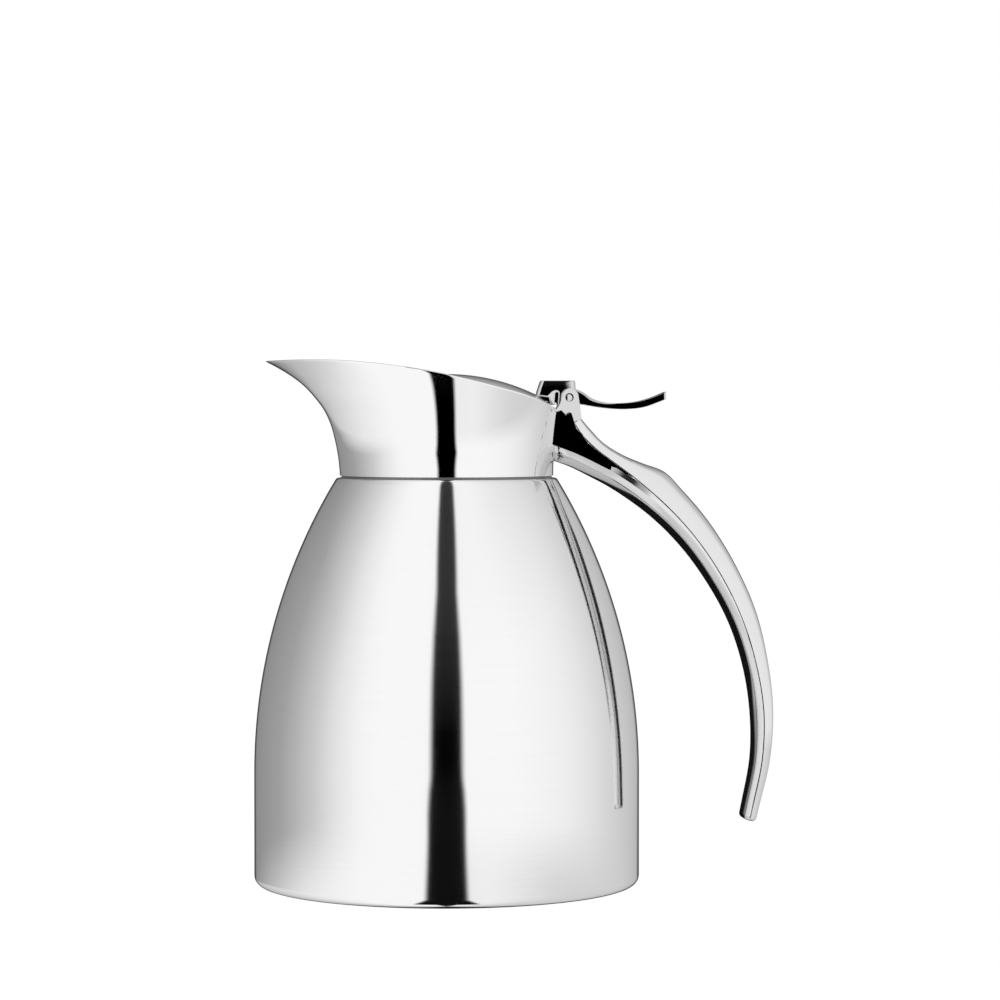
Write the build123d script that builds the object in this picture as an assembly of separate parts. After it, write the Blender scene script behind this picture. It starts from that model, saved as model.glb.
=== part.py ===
"""Small double-walled steel jug: vacuum body, pouring collar, C-shaped handle and a hinged lid.

Millimetres. The origin is the centre of the foot on the table, +Z is up, the spout points
along -X and the handle along +X. The lid turns about a pin that lies along Y.
"""
from math import cos, hypot, pi, radians, sin, sqrt
import os

from build123d import *

# Body: a straight wall that runs into one long shoulder arc
BODY_R = 48.15
STRAIGHT_H = 28.0
SEAM_Z = 101.6
SHOULDER_LAND_W = 2.9
SHOULDER_ROUND = 1.0
FOOT_ROUND = 2.3
FOOT_LAND_W = 5.15
SHELL_T = 0.6

# Neck and vacuum space
NECK_R = 24.6
NECK_H = 7.4
VACUUM_GAP = 6.0
NECK_GAP = 1.2
VESSEL_T = 0.5
VESSEL_CORNER = 7.0
VESSEL_THROAT_ROUND = 4.0
VESSEL_SPLIT_ABOVE_BEND = 2.0

# Underside
PAN_T = 0.6
PAN_RECESS = 3.0
COVER_T = 0.8
COVER_INSET = 0.6
COVER_CLEARANCE = 0.15
PLUG_R = 1.6
PLUG_HEAD_R = 2.6
PLUG_HEAD_H = 1.0
GETTER_R = 6.0
GETTER_H = 2.0
GETTER_OFFSET = 20.0

# Heat shield wrapped round the vessel
SHIELD_T = 0.2
SHIELD_GAP = 0.2
SHIELD_BOTTOM_MARGIN = 4.0
SHIELD_TOP_MARGIN = 8.0

# Pouring collar
COLLAR_T = 0.8
COLLAR_STEP = 0.85
COLLAR_GROOVE_H = 0.6
COLLAR_GROOVE_D = 0.4
COLLAR_REAR_H = 16.6
COLLAR_FLARE_W = 1.25
SPOUT_POWER = 6
SECTION_POINTS = 32
# Height above the seam, and how far the spout reaches past the round wall there
SPOUT_REACH = [
    (COLLAR_GROOVE_H, 0.0),
    (5.4, 0.35),
    (9.4, 0.85),
    (13.4, 1.55),
    (16.9, 2.7),
    (19.9, 4.4),
    (22.9, 6.6),
    (25.9, 9.95),
    (28.15, 13.3),
    (30.4, 17.4),
]
# The rim seen from the side: X, and height above the seam
RIM_LINE = [
    (-52.0, 29.1),
    (-44.0, 29.15),
    (-36.0, 29.3),
    (-26.0, 29.1),
    (-14.0, 28.0),
    (-4.6, 26.6),
    (5.9, 24.4),
    (13.4, 22.5),
    (19.6, 20.8),
    (24.6, 18.9),
    (30.0, 15.6),
]
RING_DROP = 1.6
RING_T = 1.0
RING_RISE = 1.2

# Hinge, measured from the rear of the collar (X) and from the seam (Z)
PIN_X = 3.75
PIN_Z = 19.95
PIN_R = 0.9
PIN_CLEARANCE = 0.05
BRACKET_HALF_W = 6.0
LUG_HALF_W = 4.4
LUG_CLEARANCE = 0.25
EAR_R = 2.1
EAR_OFF_X = 0.35
EAR_OFF_Z = 0.4
BARREL_R = 2.1
BARREL_CLEARANCE = 0.45
# Slot between the ears for barrel and lever: its floor behind the pin, and how high it is open
SLOT_FLOOR = [(3.4, -5.8), (9.0, -10.4)]
SLOT_TOP = 9.0
EAR_FOOT_X = 0.6
EAR_FOOT_RISE = 1.0

# Lid
LID_GAP = 0.25
LID_CROWN_R = 51.0
LID_CREST_Z = 25.9
LID_T = 0.6
LID_SKIRT = 1.6
LID_ROUND = 0.8
PAN_SHEET = 0.5
PAN_FIT = 0.05
PAN_LIP_GAP = 0.4
PAN_SHOULDER_INSET = 0.6
STOPPER_GAP = 1.9
STOPPER_DEPTH = 3.6
STOPPER_ROUND = 1.2
GASKET_H = 1.5
GASKET_SEAT_GAP = 0.2
GASKET_W = 3.0
FILL_CLEARANCE = 0.15
RIVET_R = 0.8
RIVET_HEAD_R = 1.5
RIVET_HEAD_H = 0.4
RIVET_SEAT = 0.5
RIVET_SPACING = 5.0
RIVET_REACH = 1.6
RIVET_INSET = 1.4

# Thumb lever, measured from the pin
BLOCK_FRONT = -8.05
BLOCK_BACK = 1.75
BLOCK_TOP = 4.55
BLOCK_CHAMFER = 0.7
BLOCK_FOOT = -0.6
LEVER_TOP = [
    (1.75, 2.3),
    (3.7, 0.65),
    (6.4, -0.75),
    (11.4, -1.35),
    (17.4, -1.05),
    (20.4, -0.05),
    (24.2, 1.5),
]
LEVER_BOTTOM = [
    (24.3, -0.3),
    (22.0, -1.2),
    (18.9, -2.3),
    (14.4, -2.85),
    (8.4, -2.5),
    (5.45, -2.05),
    (3.0, -1.6),
]
LEVER_PAD_HALF_W = 5.4
LEVER_NECK = 6.0
LEVER_PLAN_END = 25.2
LEVER_PAD_ROUND = 1.0

# Strap that arches over the collar's rim, measured from the pin
STRAP_HALF_W = 6.4
STRAP_FOOT = -1.75
STRAP_ARCH = [(-5.3, 0.2), (-4.5, 1.15), (-3.3, 1.9), (-2.55, 1.75), (-2.3, 1.0)]
STRAP_HOLLOW = [(-3.85, 0.6), (-3.25, 1.25), (-2.8, 0.6)]

# Handle lines, measured from the rear of the collar (X) and from the seam (Z).
# Grip half: X, Z, depth of the curved wall, height of the side wall, half width
GRIP_STATIONS = [
    (-1.6, 8.6, 3.7, 1.4, 6.0),
    (5.05, 6.3, 3.65, 1.4, 6.0),
    (10.5, 3.7, 3.7, 1.4, 6.0),
    (15.8, 0.85, 3.7, 1.4, 6.2),
    (20.8, -2.45, 3.65, 1.45, 6.7),
    (25.5, -6.2, 3.45, 1.2, 7.2),
    (34.0, -14.5, 3.4, 0.75, 7.5),
    (40.9, -24.3, 3.1, 0.65, 7.4),
    (46.5, -34.9, 2.95, 0.25, 7.2),
    (50.3, -46.2, 3.0, 0.03, 7.0),
    (52.25, -58.0, 3.05, 0.03, 6.7),
    (51.95, -69.9, 2.65, 0.03, 6.3),
    (49.65, -81.7, 2.4, 0.03, 5.8),
]
# Back half, in the same form
BACK_STATIONS = [
    (5.15, 13.7, 2.1, 0.0, 6.0),
    (7.4, 10.4, 2.5, 0.0, 6.0),
    (10.95, 6.95, 2.35, 0.0, 6.0),
    (15.85, 3.4, 2.85, 0.0, 6.2),
    (19.85, 0.4, 4.3, 0.0, 6.6),
    (23.65, -2.75, 5.55, 0.0, 7.1),
    (28.35, -7.05, 5.6, 0.0, 7.3),
    (34.85, -14.2, 5.2, 0.0, 7.5),
    (41.6, -24.0, 4.6, 0.0, 7.4),
    (46.85, -34.8, 4.15, 0.0, 7.2),
    (50.4, -46.2, 3.35, 0.0, 7.0),
    (52.35, -58.0, 2.7, 0.0, 6.7),
    (52.05, -69.9, 2.25, 0.0, 6.3),
    (49.75, -81.7, 1.85, 0.0, 5.8),
]
HANDLE_TIP = (48.85, -85.6)
TIP_ROUND = 1.2
TIP_TURNS = (0, 30, 60, 80)
HANDLE_T = 0.9
HALF_TURN = 180
CAVITY_LAP_H = 0.6
# Bracket flank between the two halves, measured like the handle
FLANK_BLUNT = (14.35, 2.75)
FLANK_STEP = (18.2, 0.85)
FLANK_POINT = (20.35, -0.2)
FLANK_TOP = 16.9
FLANK_LAP_H = 1.0
FLANK_SAMPLES = 400
COLUMN_FOOT = (6.75, 15.0)

FOOT_INNER_R = BODY_R - FOOT_LAND_W
SHOULDER_R = NECK_R + SHOULDER_LAND_W
COLLAR_R = SHOULDER_R - COLLAR_STEP
LID_R = COLLAR_R - COLLAR_T - LID_GAP
NECK_TOP = SEAM_Z + NECK_H
VESSEL_OFFSET = SHELL_T + VACUUM_GAP
VESSEL_NECK_R = NECK_R - SHELL_T - NECK_GAP
PAN_SHOULDER_R = NECK_R - PAN_SHOULDER_INSET
STOPPER_R = VESSEL_NECK_R - VESSEL_T - STOPPER_GAP
VESSEL_FLOOR = PAN_RECESS + PAN_T + VACUUM_GAP
PIN = (COLLAR_R + PIN_X, SEAM_Z + PIN_Z)
EAR_INNER = LUG_HALF_W + LUG_CLEARANCE
GASKET_BOTTOM = NECK_TOP + VESSEL_T + GASKET_SEAT_GAP
PAN_SHOULDER_Z = GASKET_BOTTOM + GASKET_H
WIDE = 2 * BODY_R
NEAR = 1e-4


def side_face(*edges):
    """Face in the XZ plane from edges drawn with X and Z as their two coordinates."""
    return Plane.XZ * make_face(edges)


def turned(*edges):
    """Solid of revolution about Z from a half section."""
    return revolve(side_face(*edges), axis=Axis.Z)


def slab(face, half_width):
    """A side face made into a plate that is centred on the XZ plane."""
    return extrude(face, amount=half_width, both=True)


def ring(inner_r, outer_r, bottom, top):
    """Plain ring about Z."""
    section = [(inner_r, bottom), (outer_r, bottom), (outer_r, top), (inner_r, top)]
    return turned(Polyline(*section, close=True))


def disc(radius, bottom, top, centre=(0.0, 0.0)):
    """Plain disc that lies flat."""
    place = Location((centre[0], centre[1], bottom))
    return place * Cylinder(radius, top - bottom, align=(Align.CENTER, Align.CENTER, Align.MIN))


def arc_radius():
    """Radius of the shoulder arc: level with the straight wall, then through the shoulder's edge."""
    inward = BODY_R - SHOULDER_R
    rise = SEAM_Z - STRAIGHT_H
    return (inward ** 2 + rise ** 2) / (2 * inward)


def wall_r(z, offset=0.0):
    """Radius of the body at a height, on a wall that lies offset inside the outer face."""
    if z <= STRAIGHT_H:
        return BODY_R - offset
    big = arc_radius()
    return BODY_R - big + sqrt((big - offset) ** 2 - (z - STRAIGHT_H) ** 2)


def wall_z(r, offset=0.0):
    """Height at which such a wall has a given radius."""
    big = arc_radius()
    return STRAIGHT_H + sqrt((big - offset) ** 2 - (r - BODY_R + big) ** 2)


def wall_arc(z_low, z_high, offset=0.0):
    """Stretch of the shoulder arc between two heights."""
    z_mid = (z_low + z_high) / 2
    points = [(wall_r(z, offset), z) for z in (z_low, z_mid, z_high)]
    return ThreePointArc(*points)


def rounded(face, corners, radius):
    """Face in the XZ plane with the named corners rounded."""
    chosen = []
    for vertex in face.vertices():
        for x, z in corners:
            if hypot(vertex.X - x, vertex.Z - z) < NEAR:
                chosen.append(vertex)
    return fillet(chosen, radius)


def outer_shell():
    """Foot ring, straight wall, shoulder and neck tube in one drawn sheet."""
    inner_land = SEAM_Z - SHELL_T
    inner_neck = NECK_R - SHELL_T
    inner_edge = wall_r(inner_land, SHELL_T)
    face = side_face(
        Line((FOOT_INNER_R, 0), (BODY_R, 0)),
        Line((BODY_R, 0), (BODY_R, STRAIGHT_H)),
        wall_arc(STRAIGHT_H, SEAM_Z),
        Polyline((SHOULDER_R, SEAM_Z), (NECK_R, SEAM_Z), (NECK_R, NECK_TOP), (inner_neck, NECK_TOP)),
        Polyline((inner_neck, NECK_TOP), (inner_neck, inner_land), (inner_edge, inner_land)),
        wall_arc(inner_land, STRAIGHT_H, SHELL_T),
        Polyline(
            (BODY_R - SHELL_T, STRAIGHT_H),
            (BODY_R - SHELL_T, SHELL_T),
            (FOOT_INNER_R, SHELL_T),
            (FOOT_INNER_R, 0),
        ),
    )
    face = rounded(face, [(BODY_R, 0)], FOOT_ROUND)
    face = rounded(face, [(BODY_R - SHELL_T, SHELL_T)], FOOT_ROUND - SHELL_T)
    face = rounded(face, [(SHOULDER_R, SEAM_Z)], SHOULDER_ROUND)
    return revolve(face, axis=Axis.Z)


def base_pan():
    """Recessed floor of the outer shell, welded inside the foot ring, with the pumping hole."""
    rim = FOOT_INNER_R
    top = PAN_RECESS + PAN_T
    outline = [(0, PAN_RECESS), (rim - PAN_T, PAN_RECESS), (rim - PAN_T, 0), (rim, 0), (rim, top), (0, top)]
    pan = turned(Polyline(*outline, close=True))
    return pan - disc(PLUG_R, 0, top + PAN_T)


def vacuum_plug():
    """Plug that closes the pumping hole, with its head below the floor."""
    shank = disc(PLUG_R, PAN_RECESS, PAN_RECESS + PAN_T)
    return shank + disc(PLUG_HEAD_R, PAN_RECESS - PLUG_HEAD_H, PAN_RECESS)


def getter():
    """Capsule on the vacuum side of the floor that takes up stray gas."""
    floor = PAN_RECESS + PAN_T
    return disc(GETTER_R, floor, floor + GETTER_H, (GETTER_OFFSET, 0))


def base_cover():
    """Disc pressed into the foot ring that hides the plug."""
    return disc(FOOT_INNER_R - PAN_T - COVER_CLEARANCE, COVER_INSET, COVER_INSET + COVER_T)


def vessel_split():
    """Height of the weld between the two parts of the inner vessel."""
    return VESSEL_FLOOR + VESSEL_CORNER + VESSEL_SPLIT_ABOVE_BEND


def vessel_lower():
    """Cup that makes the bottom of the inner vessel."""
    wall = BODY_R - VESSEL_OFFSET
    inside = wall - VESSEL_T
    floor = VESSEL_FLOOR + VESSEL_T
    split = vessel_split()
    face = side_face(
        Polyline((0, VESSEL_FLOOR), (wall, VESSEL_FLOOR), (wall, split), (inside, split), close=False),
        Polyline((inside, split), (inside, floor), (0, floor), (0, VESSEL_FLOOR)),
    )
    face = rounded(face, [(wall, VESSEL_FLOOR)], VESSEL_CORNER)
    face = rounded(face, [(inside, floor)], VESSEL_CORNER - VESSEL_T)
    return revolve(face, axis=Axis.Z)


def vessel_upper():
    """Wall, shoulder and throat of the inner vessel, with the lip that closes the neck."""
    wall = BODY_R - VESSEL_OFFSET
    inside = wall - VESSEL_T
    split = vessel_split()
    bore = VESSEL_NECK_R - VESSEL_T
    lip = NECK_TOP + VESSEL_T
    throat = wall_z(VESSEL_NECK_R, VESSEL_OFFSET)
    throat_inside = wall_z(bore, VESSEL_OFFSET + VESSEL_T)
    face = side_face(
        Line((wall, split), (wall, STRAIGHT_H)),
        wall_arc(STRAIGHT_H, throat, VESSEL_OFFSET),
        Polyline((VESSEL_NECK_R, throat), (VESSEL_NECK_R, NECK_TOP), (NECK_R, NECK_TOP), (NECK_R, lip)),
        Polyline((NECK_R, lip), (bore, lip), (bore, throat_inside)),
        wall_arc(throat_inside, STRAIGHT_H, VESSEL_OFFSET + VESSEL_T),
        Polyline((inside, STRAIGHT_H), (inside, split), (wall, split)),
    )
    face = rounded(face, [(VESSEL_NECK_R, throat)], VESSEL_THROAT_ROUND)
    face = rounded(face, [(bore, throat_inside)], VESSEL_THROAT_ROUND + VESSEL_T)
    return revolve(face, axis=Axis.Z)


def heat_shield():
    """Thin foil sleeve in the vacuum, wrapped round the vessel's wall."""
    outer = VESSEL_OFFSET - SHIELD_GAP - SHIELD_T
    inner = VESSEL_OFFSET - SHIELD_GAP
    low = vessel_split() + SHIELD_BOTTOM_MARGIN
    high = wall_z(VESSEL_NECK_R, VESSEL_OFFSET) - SHIELD_TOP_MARGIN
    return turned(
        Line((BODY_R - inner, low), (BODY_R - outer, low)),
        Line((BODY_R - outer, low), (BODY_R - outer, STRAIGHT_H)),
        wall_arc(STRAIGHT_H, high, outer),
        Line((wall_r(high, outer), high), (wall_r(high, inner), high)),
        wall_arc(high, STRAIGHT_H, inner),
        Line((BODY_R - inner, STRAIGHT_H), (BODY_R - inner, low)),
    )


def collar_round(height):
    """Radius of the collar's round part at a height above the seam."""
    return COLLAR_R + COLLAR_FLARE_W * (height / COLLAR_REAR_H) ** 2


def collar_section(height, round_r, reach):
    """Level outline of the collar: a circle that swells smoothly into the spout at -X."""
    points = []
    for step in range(SECTION_POINTS):
        turn = 2 * pi * step / SECTION_POINTS
        swell = ((1 - cos(turn)) / 2) ** SPOUT_POWER
        r = round_r + reach * swell
        points.append((r * cos(turn), r * sin(turn), SEAM_Z + height))
    return Face(Wire([Spline(*points, periodic=True)]))


def collar_body(inset):
    """Solid that lies inset inside the collar's outer face, before the rim is cut."""
    sections = []
    for index, (height, reach) in enumerate(SPOUT_REACH):
        low_h, low_reach = SPOUT_REACH[max(index - 1, 0)]
        high_h, high_reach = SPOUT_REACH[min(index + 1, len(SPOUT_REACH) - 1)]
        rise = collar_round(high_h) + high_reach - collar_round(low_h) - low_reach
        lean = rise / (high_h - low_h)
        extra = inset * (hypot(1, lean) - 1)
        sections.append(collar_section(height, collar_round(height) - inset, reach - extra))
    return loft(sections)


def above_rim():
    """Everything over the rim line, seen from the side."""
    points = [(x, SEAM_Z + z) for x, z in RIM_LINE]
    roof = SEAM_Z + 2 * NECK_H + BODY_R
    face = side_face(
        Spline(*points),
        Polyline(points[-1], (WIDE, points[-1][1]), (WIDE, roof), (points[0][0], roof), points[0]),
    )
    return slab(face, WIDE)


def collar_foot(overlap):
    """Set-back foot of the collar, which leaves a shadow groove over the shoulder."""
    return disc(COLLAR_R - COLLAR_GROOVE_D, SEAM_Z, SEAM_Z + COLLAR_GROOVE_H + overlap)


def spout_collar():
    """Thin collar that carries the spout and stands on the shoulder round the neck."""
    collar = collar_foot(COLLAR_T / 2) + collar_body(0.0) - collar_body(COLLAR_T)
    collar -= disc(NECK_R, 0, NECK_TOP)
    return collar - above_rim()


def pouring_ring():
    """Sloping ring that closes the gap between the neck's mouth and the collar."""
    low = NECK_TOP - RING_DROP
    high = low + RING_RISE * (BODY_R - NECK_R) / (COLLAR_R - NECK_R)
    section = [(NECK_R, low), (BODY_R, high), (BODY_R, high + RING_T), (NECK_R, low + RING_T)]
    return turned(Polyline(*section, close=True)) & collar_body(COLLAR_T)


def handle_point(x, z):
    """Place of a handle point in the part's own frame."""
    return (COLLAR_R + x, SEAM_Z + z)


def hinge_point(x, z):
    """Place of a point given from the pin."""
    return (PIN[0] + x, PIN[1] + z)


def station_planes(stations, outward):
    """Planes across the handle at its stations. Local Y points out of the half's curved wall."""
    places = [handle_point(x, z) for x, z, *_ in stations] + [handle_point(*HANDLE_TIP)]
    line = Spline(*[(x, 0, z) for x, z in places])
    planes = []
    for x, z in places:
        along = line.tangent_at(line.param_at_point((x, 0, z)))
        out = Vector(-along.Z, 0, along.X) * outward
        planes.append(Plane(origin=(x, 0, z), x_dir=(0, 1, 0), z_dir=Vector(0, 1, 0).cross(out)))
    return planes


def half_section(plane, depth, side, half_w, inset):
    """Half ellipse, with straight side walls below it, that lies inset inside a handle half."""
    wall = half_w - inset
    curve = EllipticalCenterArc((0, 0), wall, depth - inset, 0, arc_size=HALF_TURN)
    if side == 0:
        return plane * make_face([curve, Line((-wall, 0), (wall, 0))])
    return plane * make_face([curve, Polyline((-wall, 0), (-wall, -side), (wall, -side), (wall, 0))])


def direction_to_tip(planes):
    """+1 if the planes' normals point along the handle to its tip, otherwise -1."""
    return 1 if planes[0].z_dir.dot(planes[1].origin - planes[0].origin) > 0 else -1


def half_loft(stations, outward, inset, below, from_start, from_tip):
    """Loft of one handle half through its stations, ended short of its start and its tip."""
    planes = station_planes(stations, outward)
    along = direction_to_tip(planes)
    planes[0] = planes[0].offset(along * from_start)
    planes[-1] = planes[-1].offset(-along * from_tip)
    sections = []
    for plane, (x, z, depth, side, half_w) in zip(planes, stations + [stations[-1]]):
        sections.append(half_section(plane, depth, side + below, half_w, inset))
    return loft(sections)


def half_tip(stations, outward):
    """Rounded end of a handle half."""
    planes = station_planes(stations, outward)
    along = direction_to_tip(planes)
    depth, side, half_w = stations[-1][2:]
    sections = []
    for turn in TIP_TURNS:
        back = TIP_ROUND * (1 - sin(radians(turn)))
        inset = TIP_ROUND * (1 - cos(radians(turn)))
        sections.append(half_section(planes[-1].offset(-along * back), depth, side, half_w, inset))
    return loft(sections)


def handle_half(stations, outward):
    """Outer form of a handle half, with its tip rounded off."""
    return half_loft(stations, outward, 0.0, 0.0, 0.0, TIP_ROUND) + half_tip(stations, outward)


def handle_cavity(stations, outward):
    """Hollow inside a handle half, which stops short of both of its ends."""
    return half_loft(stations, outward, HANDLE_T, CAVITY_LAP_H, HANDLE_T, TIP_ROUND + HANDLE_T)


def back_half_solid():
    """Back half of the handle before it is hollowed."""
    return handle_half(BACK_STATIONS, 1)


def grip_half_solid():
    """Inner half of the handle before it is hollowed."""
    return handle_half(GRIP_STATIONS, -1)


def flank_face():
    """Side view of the bracket's flat flank, up to the collar and into the back half."""
    line = Spline(*[handle_point(x, z) for x, z, *_ in GRIP_STATIONS] + [handle_point(*HANDLE_TIP)])
    blunt = handle_point(*FLANK_BLUNT)
    seam_points = [line @ (step / FLANK_SAMPLES) for step in range(FLANK_SAMPLES)]
    foot = min(seam_points, key=lambda point: hypot(point.X - blunt[0], point.Y - blunt[1]))
    start, mid, low = [handle_point(x, z) for x, z, *_ in GRIP_STATIONS[:3]]
    lapped = [handle_point(x, z + FLANK_LAP_H) for x, z, *_ in BACK_STATIONS[3:0:-1]]
    point = handle_point(*FLANK_POINT)
    column = handle_point(*COLUMN_FOOT)
    top = SEAM_Z + FLANK_TOP
    return side_face(
        Spline(start, mid, low, (foot.X, foot.Y)),
        Polyline((foot.X, foot.Y), blunt, handle_point(*FLANK_STEP), point),
        Polyline(point, *lapped, column, (PIN[0] + EAR_OFF_X + EAR_R, top), (start[0], top), start),
    )


def ear_face():
    """Side view of one ear: a round head over a foot that widens towards the collar."""
    head = hinge_point(EAR_OFF_X, EAR_OFF_Z)
    top = SEAM_Z + FLANK_TOP
    left = (head[0] - EAR_R, head[1])
    right = (head[0] + EAR_R, head[1])
    inner = (COLLAR_R + EAR_FOOT_X, top)
    return side_face(
        ThreePointArc(left, (head[0], head[1] + EAR_R), right),
        Polyline(right, handle_point(*COLUMN_FOOT), (COLLAR_R, top - EAR_FOOT_RISE), inner),
        Polyline(inner, (left[0], top + EAR_FOOT_RISE), left),
    )


def lever_slot():
    """Room between the ears for the lid's barrel and for the lever as it swings down."""
    floor = PIN[1] - BARREL_R - BARREL_CLEARANCE
    top = PIN[1] + SLOT_TOP
    behind = [hinge_point(x, z) for x, z in SLOT_FLOOR]
    outline = [(0, floor), (PIN[0], floor), *behind, (behind[-1][0], top), (0, top)]
    return slab(side_face(Polyline(*outline, close=True)), EAR_INNER)


def hinge_bracket():
    """Cast bracket: flat flanks between collar and handle, and two ears for the pin."""
    bracket = slab(flank_face(), BRACKET_HALF_W) + slab(ear_face(), BRACKET_HALF_W)
    bracket -= lever_slot()
    bracket -= back_half_solid()
    bracket -= collar_body(0.0)
    return bracket - pin_solid(PIN_R)


def pin_solid(radius):
    """Pin through both ears, along Y."""
    turn = Location((PIN[0], 0, PIN[1]), (90, 0, 0))
    return turn * Cylinder(radius, 2 * BRACKET_HALF_W)


def handle_back():
    """Pressed shell that makes the thumb rest and the back of the handle."""
    return back_half_solid() - handle_cavity(BACK_STATIONS, 1)


def handle_grip():
    """Pressed shell that the fingers close on, let into the bracket at its upper end."""
    shell = grip_half_solid() - handle_cavity(GRIP_STATIONS, -1)
    shell -= slab(flank_face(), WIDE)
    shell -= collar_body(0.0)
    return max(shell.solids(), key=lambda solid: solid.volume)


def dome_profile(offset):
    """Height of the dome's arc at its edge, for a surface that lies offset inside it."""
    crest = SEAM_Z + LID_CREST_Z
    r = LID_R - offset
    return crest - LID_CROWN_R + sqrt((LID_CROWN_R - offset) ** 2 - r ** 2)


def dome_arc(offset):
    """Dome arc from the axis to the edge, as an edge in the half section."""
    crest = SEAM_Z + LID_CREST_Z
    centre = crest - LID_CROWN_R
    radius = LID_CROWN_R - offset
    r = LID_R - offset
    middle = (r / 2, centre + sqrt(radius ** 2 - (r / 2) ** 2))
    return ThreePointArc((0, centre + radius), middle, (r, dome_profile(offset)))


def lid_dome():
    """Round domed cover with a short skirt."""
    foot = dome_profile(0.0) - LID_SKIRT
    inside = LID_R - LID_T
    face = side_face(
        dome_arc(0.0),
        Polyline((LID_R, dome_profile(0.0)), (LID_R, foot), (inside, foot), (inside, dome_profile(LID_T))),
        dome_arc(LID_T),
        Line((0, SEAM_Z + LID_CREST_Z - LID_T), (0, SEAM_Z + LID_CREST_Z)),
    )
    face = rounded(face, [(LID_R, dome_profile(0.0))], LID_ROUND)
    return revolve(face, axis=Axis.Z) - rivet_set(0.0)


def lid_pan():
    """Pressed pan under the dome, whose stopper reaches into the neck."""
    rim = LID_R - LID_T - PAN_FIT
    foot = dome_profile(0.0) - LID_SKIRT
    top = dome_profile(LID_T) - PAN_LIP_GAP
    floor = GASKET_BOTTOM - STOPPER_DEPTH
    sheet = PAN_SHEET
    outer = [(0, floor), (STOPPER_R, floor), (STOPPER_R, PAN_SHOULDER_Z), (PAN_SHOULDER_R, PAN_SHOULDER_Z)]
    outer += [(rim, foot), (rim, top), (rim - sheet, top), (rim - sheet, foot)]
    outer += [(PAN_SHOULDER_R - sheet, PAN_SHOULDER_Z + sheet), (STOPPER_R - sheet, PAN_SHOULDER_Z + sheet)]
    outer += [(STOPPER_R - sheet, floor + sheet), (0, floor + sheet)]
    face = side_face(Polyline(*outer, close=True))
    face = rounded(face, [(STOPPER_R, floor)], STOPPER_ROUND)
    face = rounded(face, [(STOPPER_R - sheet, floor + sheet)], STOPPER_ROUND - sheet)
    return revolve(face, axis=Axis.Z)


def lid_fill():
    """Insulation that fills the lid between pan and dome."""
    gap = FILL_CLEARANCE
    sheet = PAN_SHEET + gap
    rim = LID_R - LID_T - PAN_FIT - sheet
    foot = dome_profile(0.0) - LID_SKIRT
    floor = GASKET_BOTTOM - STOPPER_DEPTH + sheet
    shoulder = PAN_SHOULDER_Z + sheet
    crest = SEAM_Z + LID_CREST_Z
    radius = LID_CROWN_R - LID_T - gap
    centre = crest - LID_CROWN_R
    edge = centre + sqrt(radius ** 2 - rim ** 2)
    middle = (rim / 2, centre + sqrt(radius ** 2 - (rim / 2) ** 2))
    corner = STOPPER_R - sheet
    face = side_face(
        ThreePointArc((0, centre + radius), middle, (rim, edge)),
        Polyline((rim, edge), (rim, foot), (PAN_SHOULDER_R - sheet, shoulder), (corner, shoulder)),
        Polyline((corner, shoulder), (corner, floor), (0, floor), (0, centre + radius)),
    )
    face = rounded(face, [(corner, floor)], STOPPER_ROUND)
    return revolve(face, axis=Axis.Z) - rivet_set(FILL_CLEARANCE)


def lid_gasket():
    """Soft ring under the pan's shoulder that seals on the neck's lip."""
    return ring(STOPPER_R, STOPPER_R + GASKET_W, GASKET_BOTTOM, PAN_SHOULDER_Z)


def rivet_set(clearance):
    """Two rivets that hold the lever's block down on the dome, heads inside the lid."""
    x = PIN[0] + BLOCK_FRONT + RIVET_INSET
    crest = SEAM_Z + LID_CREST_Z
    dome = crest - LID_CROWN_R + sqrt(LID_CROWN_R ** 2 - x ** 2 - (RIVET_SPACING / 2) ** 2)
    under = dome - LID_T - RIVET_SEAT
    pieces = []
    for side in (-1, 1):
        centre = (x, side * RIVET_SPACING / 2)
        head = disc(RIVET_HEAD_R + clearance, under - clearance - RIVET_HEAD_H, under, centre)
        pieces.append(head + disc(RIVET_R, under, dome + RIVET_REACH, centre))
    return Compound(children=pieces)


def strap_arch():
    """Side view of everything under the arch over the collar's rim."""
    arch = [hinge_point(x, z) for x, z in STRAP_ARCH]
    left = hinge_point(STRAP_ARCH[0][0], STRAP_FOOT)
    right = hinge_point(STRAP_ARCH[-1][0], STRAP_FOOT)
    return side_face(Spline(*arch), Polyline(arch[-1], right, left, arch[0]))


def strap_hollow():
    """Side view of the hollow under the arch."""
    hollow = [hinge_point(x, z) for x, z in STRAP_HOLLOW]
    left = hinge_point(STRAP_HOLLOW[0][0], STRAP_FOOT)
    right = hinge_point(STRAP_HOLLOW[-1][0], STRAP_FOOT)
    return side_face(ThreePointArc(*hollow), Polyline(hollow[-1], right, left, hollow[0]))


def lid_core():
    """Everything that the dome and its skirt bound, for seating other pieces on the lid."""
    foot = dome_profile(0.0) - LID_SKIRT
    centre = SEAM_Z + LID_CREST_Z - LID_CROWN_R
    middle = (LID_R / 2, centre + sqrt(LID_CROWN_R ** 2 - (LID_R / 2) ** 2))
    face = side_face(
        ThreePointArc((0, centre + LID_CROWN_R), middle, (LID_R, dome_profile(0.0))),
        Polyline((LID_R, dome_profile(0.0)), (LID_R, foot), (0, foot), (0, centre + LID_CROWN_R)),
    )
    return revolve(face, axis=Axis.Z)


def hinge_strap():
    """Bent strap welded to the lid's skirt, which arches over the collar's rim to the barrel."""
    return slab(strap_arch(), STRAP_HALF_W) - slab(strap_hollow(), WIDE) - lid_core()


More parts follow.
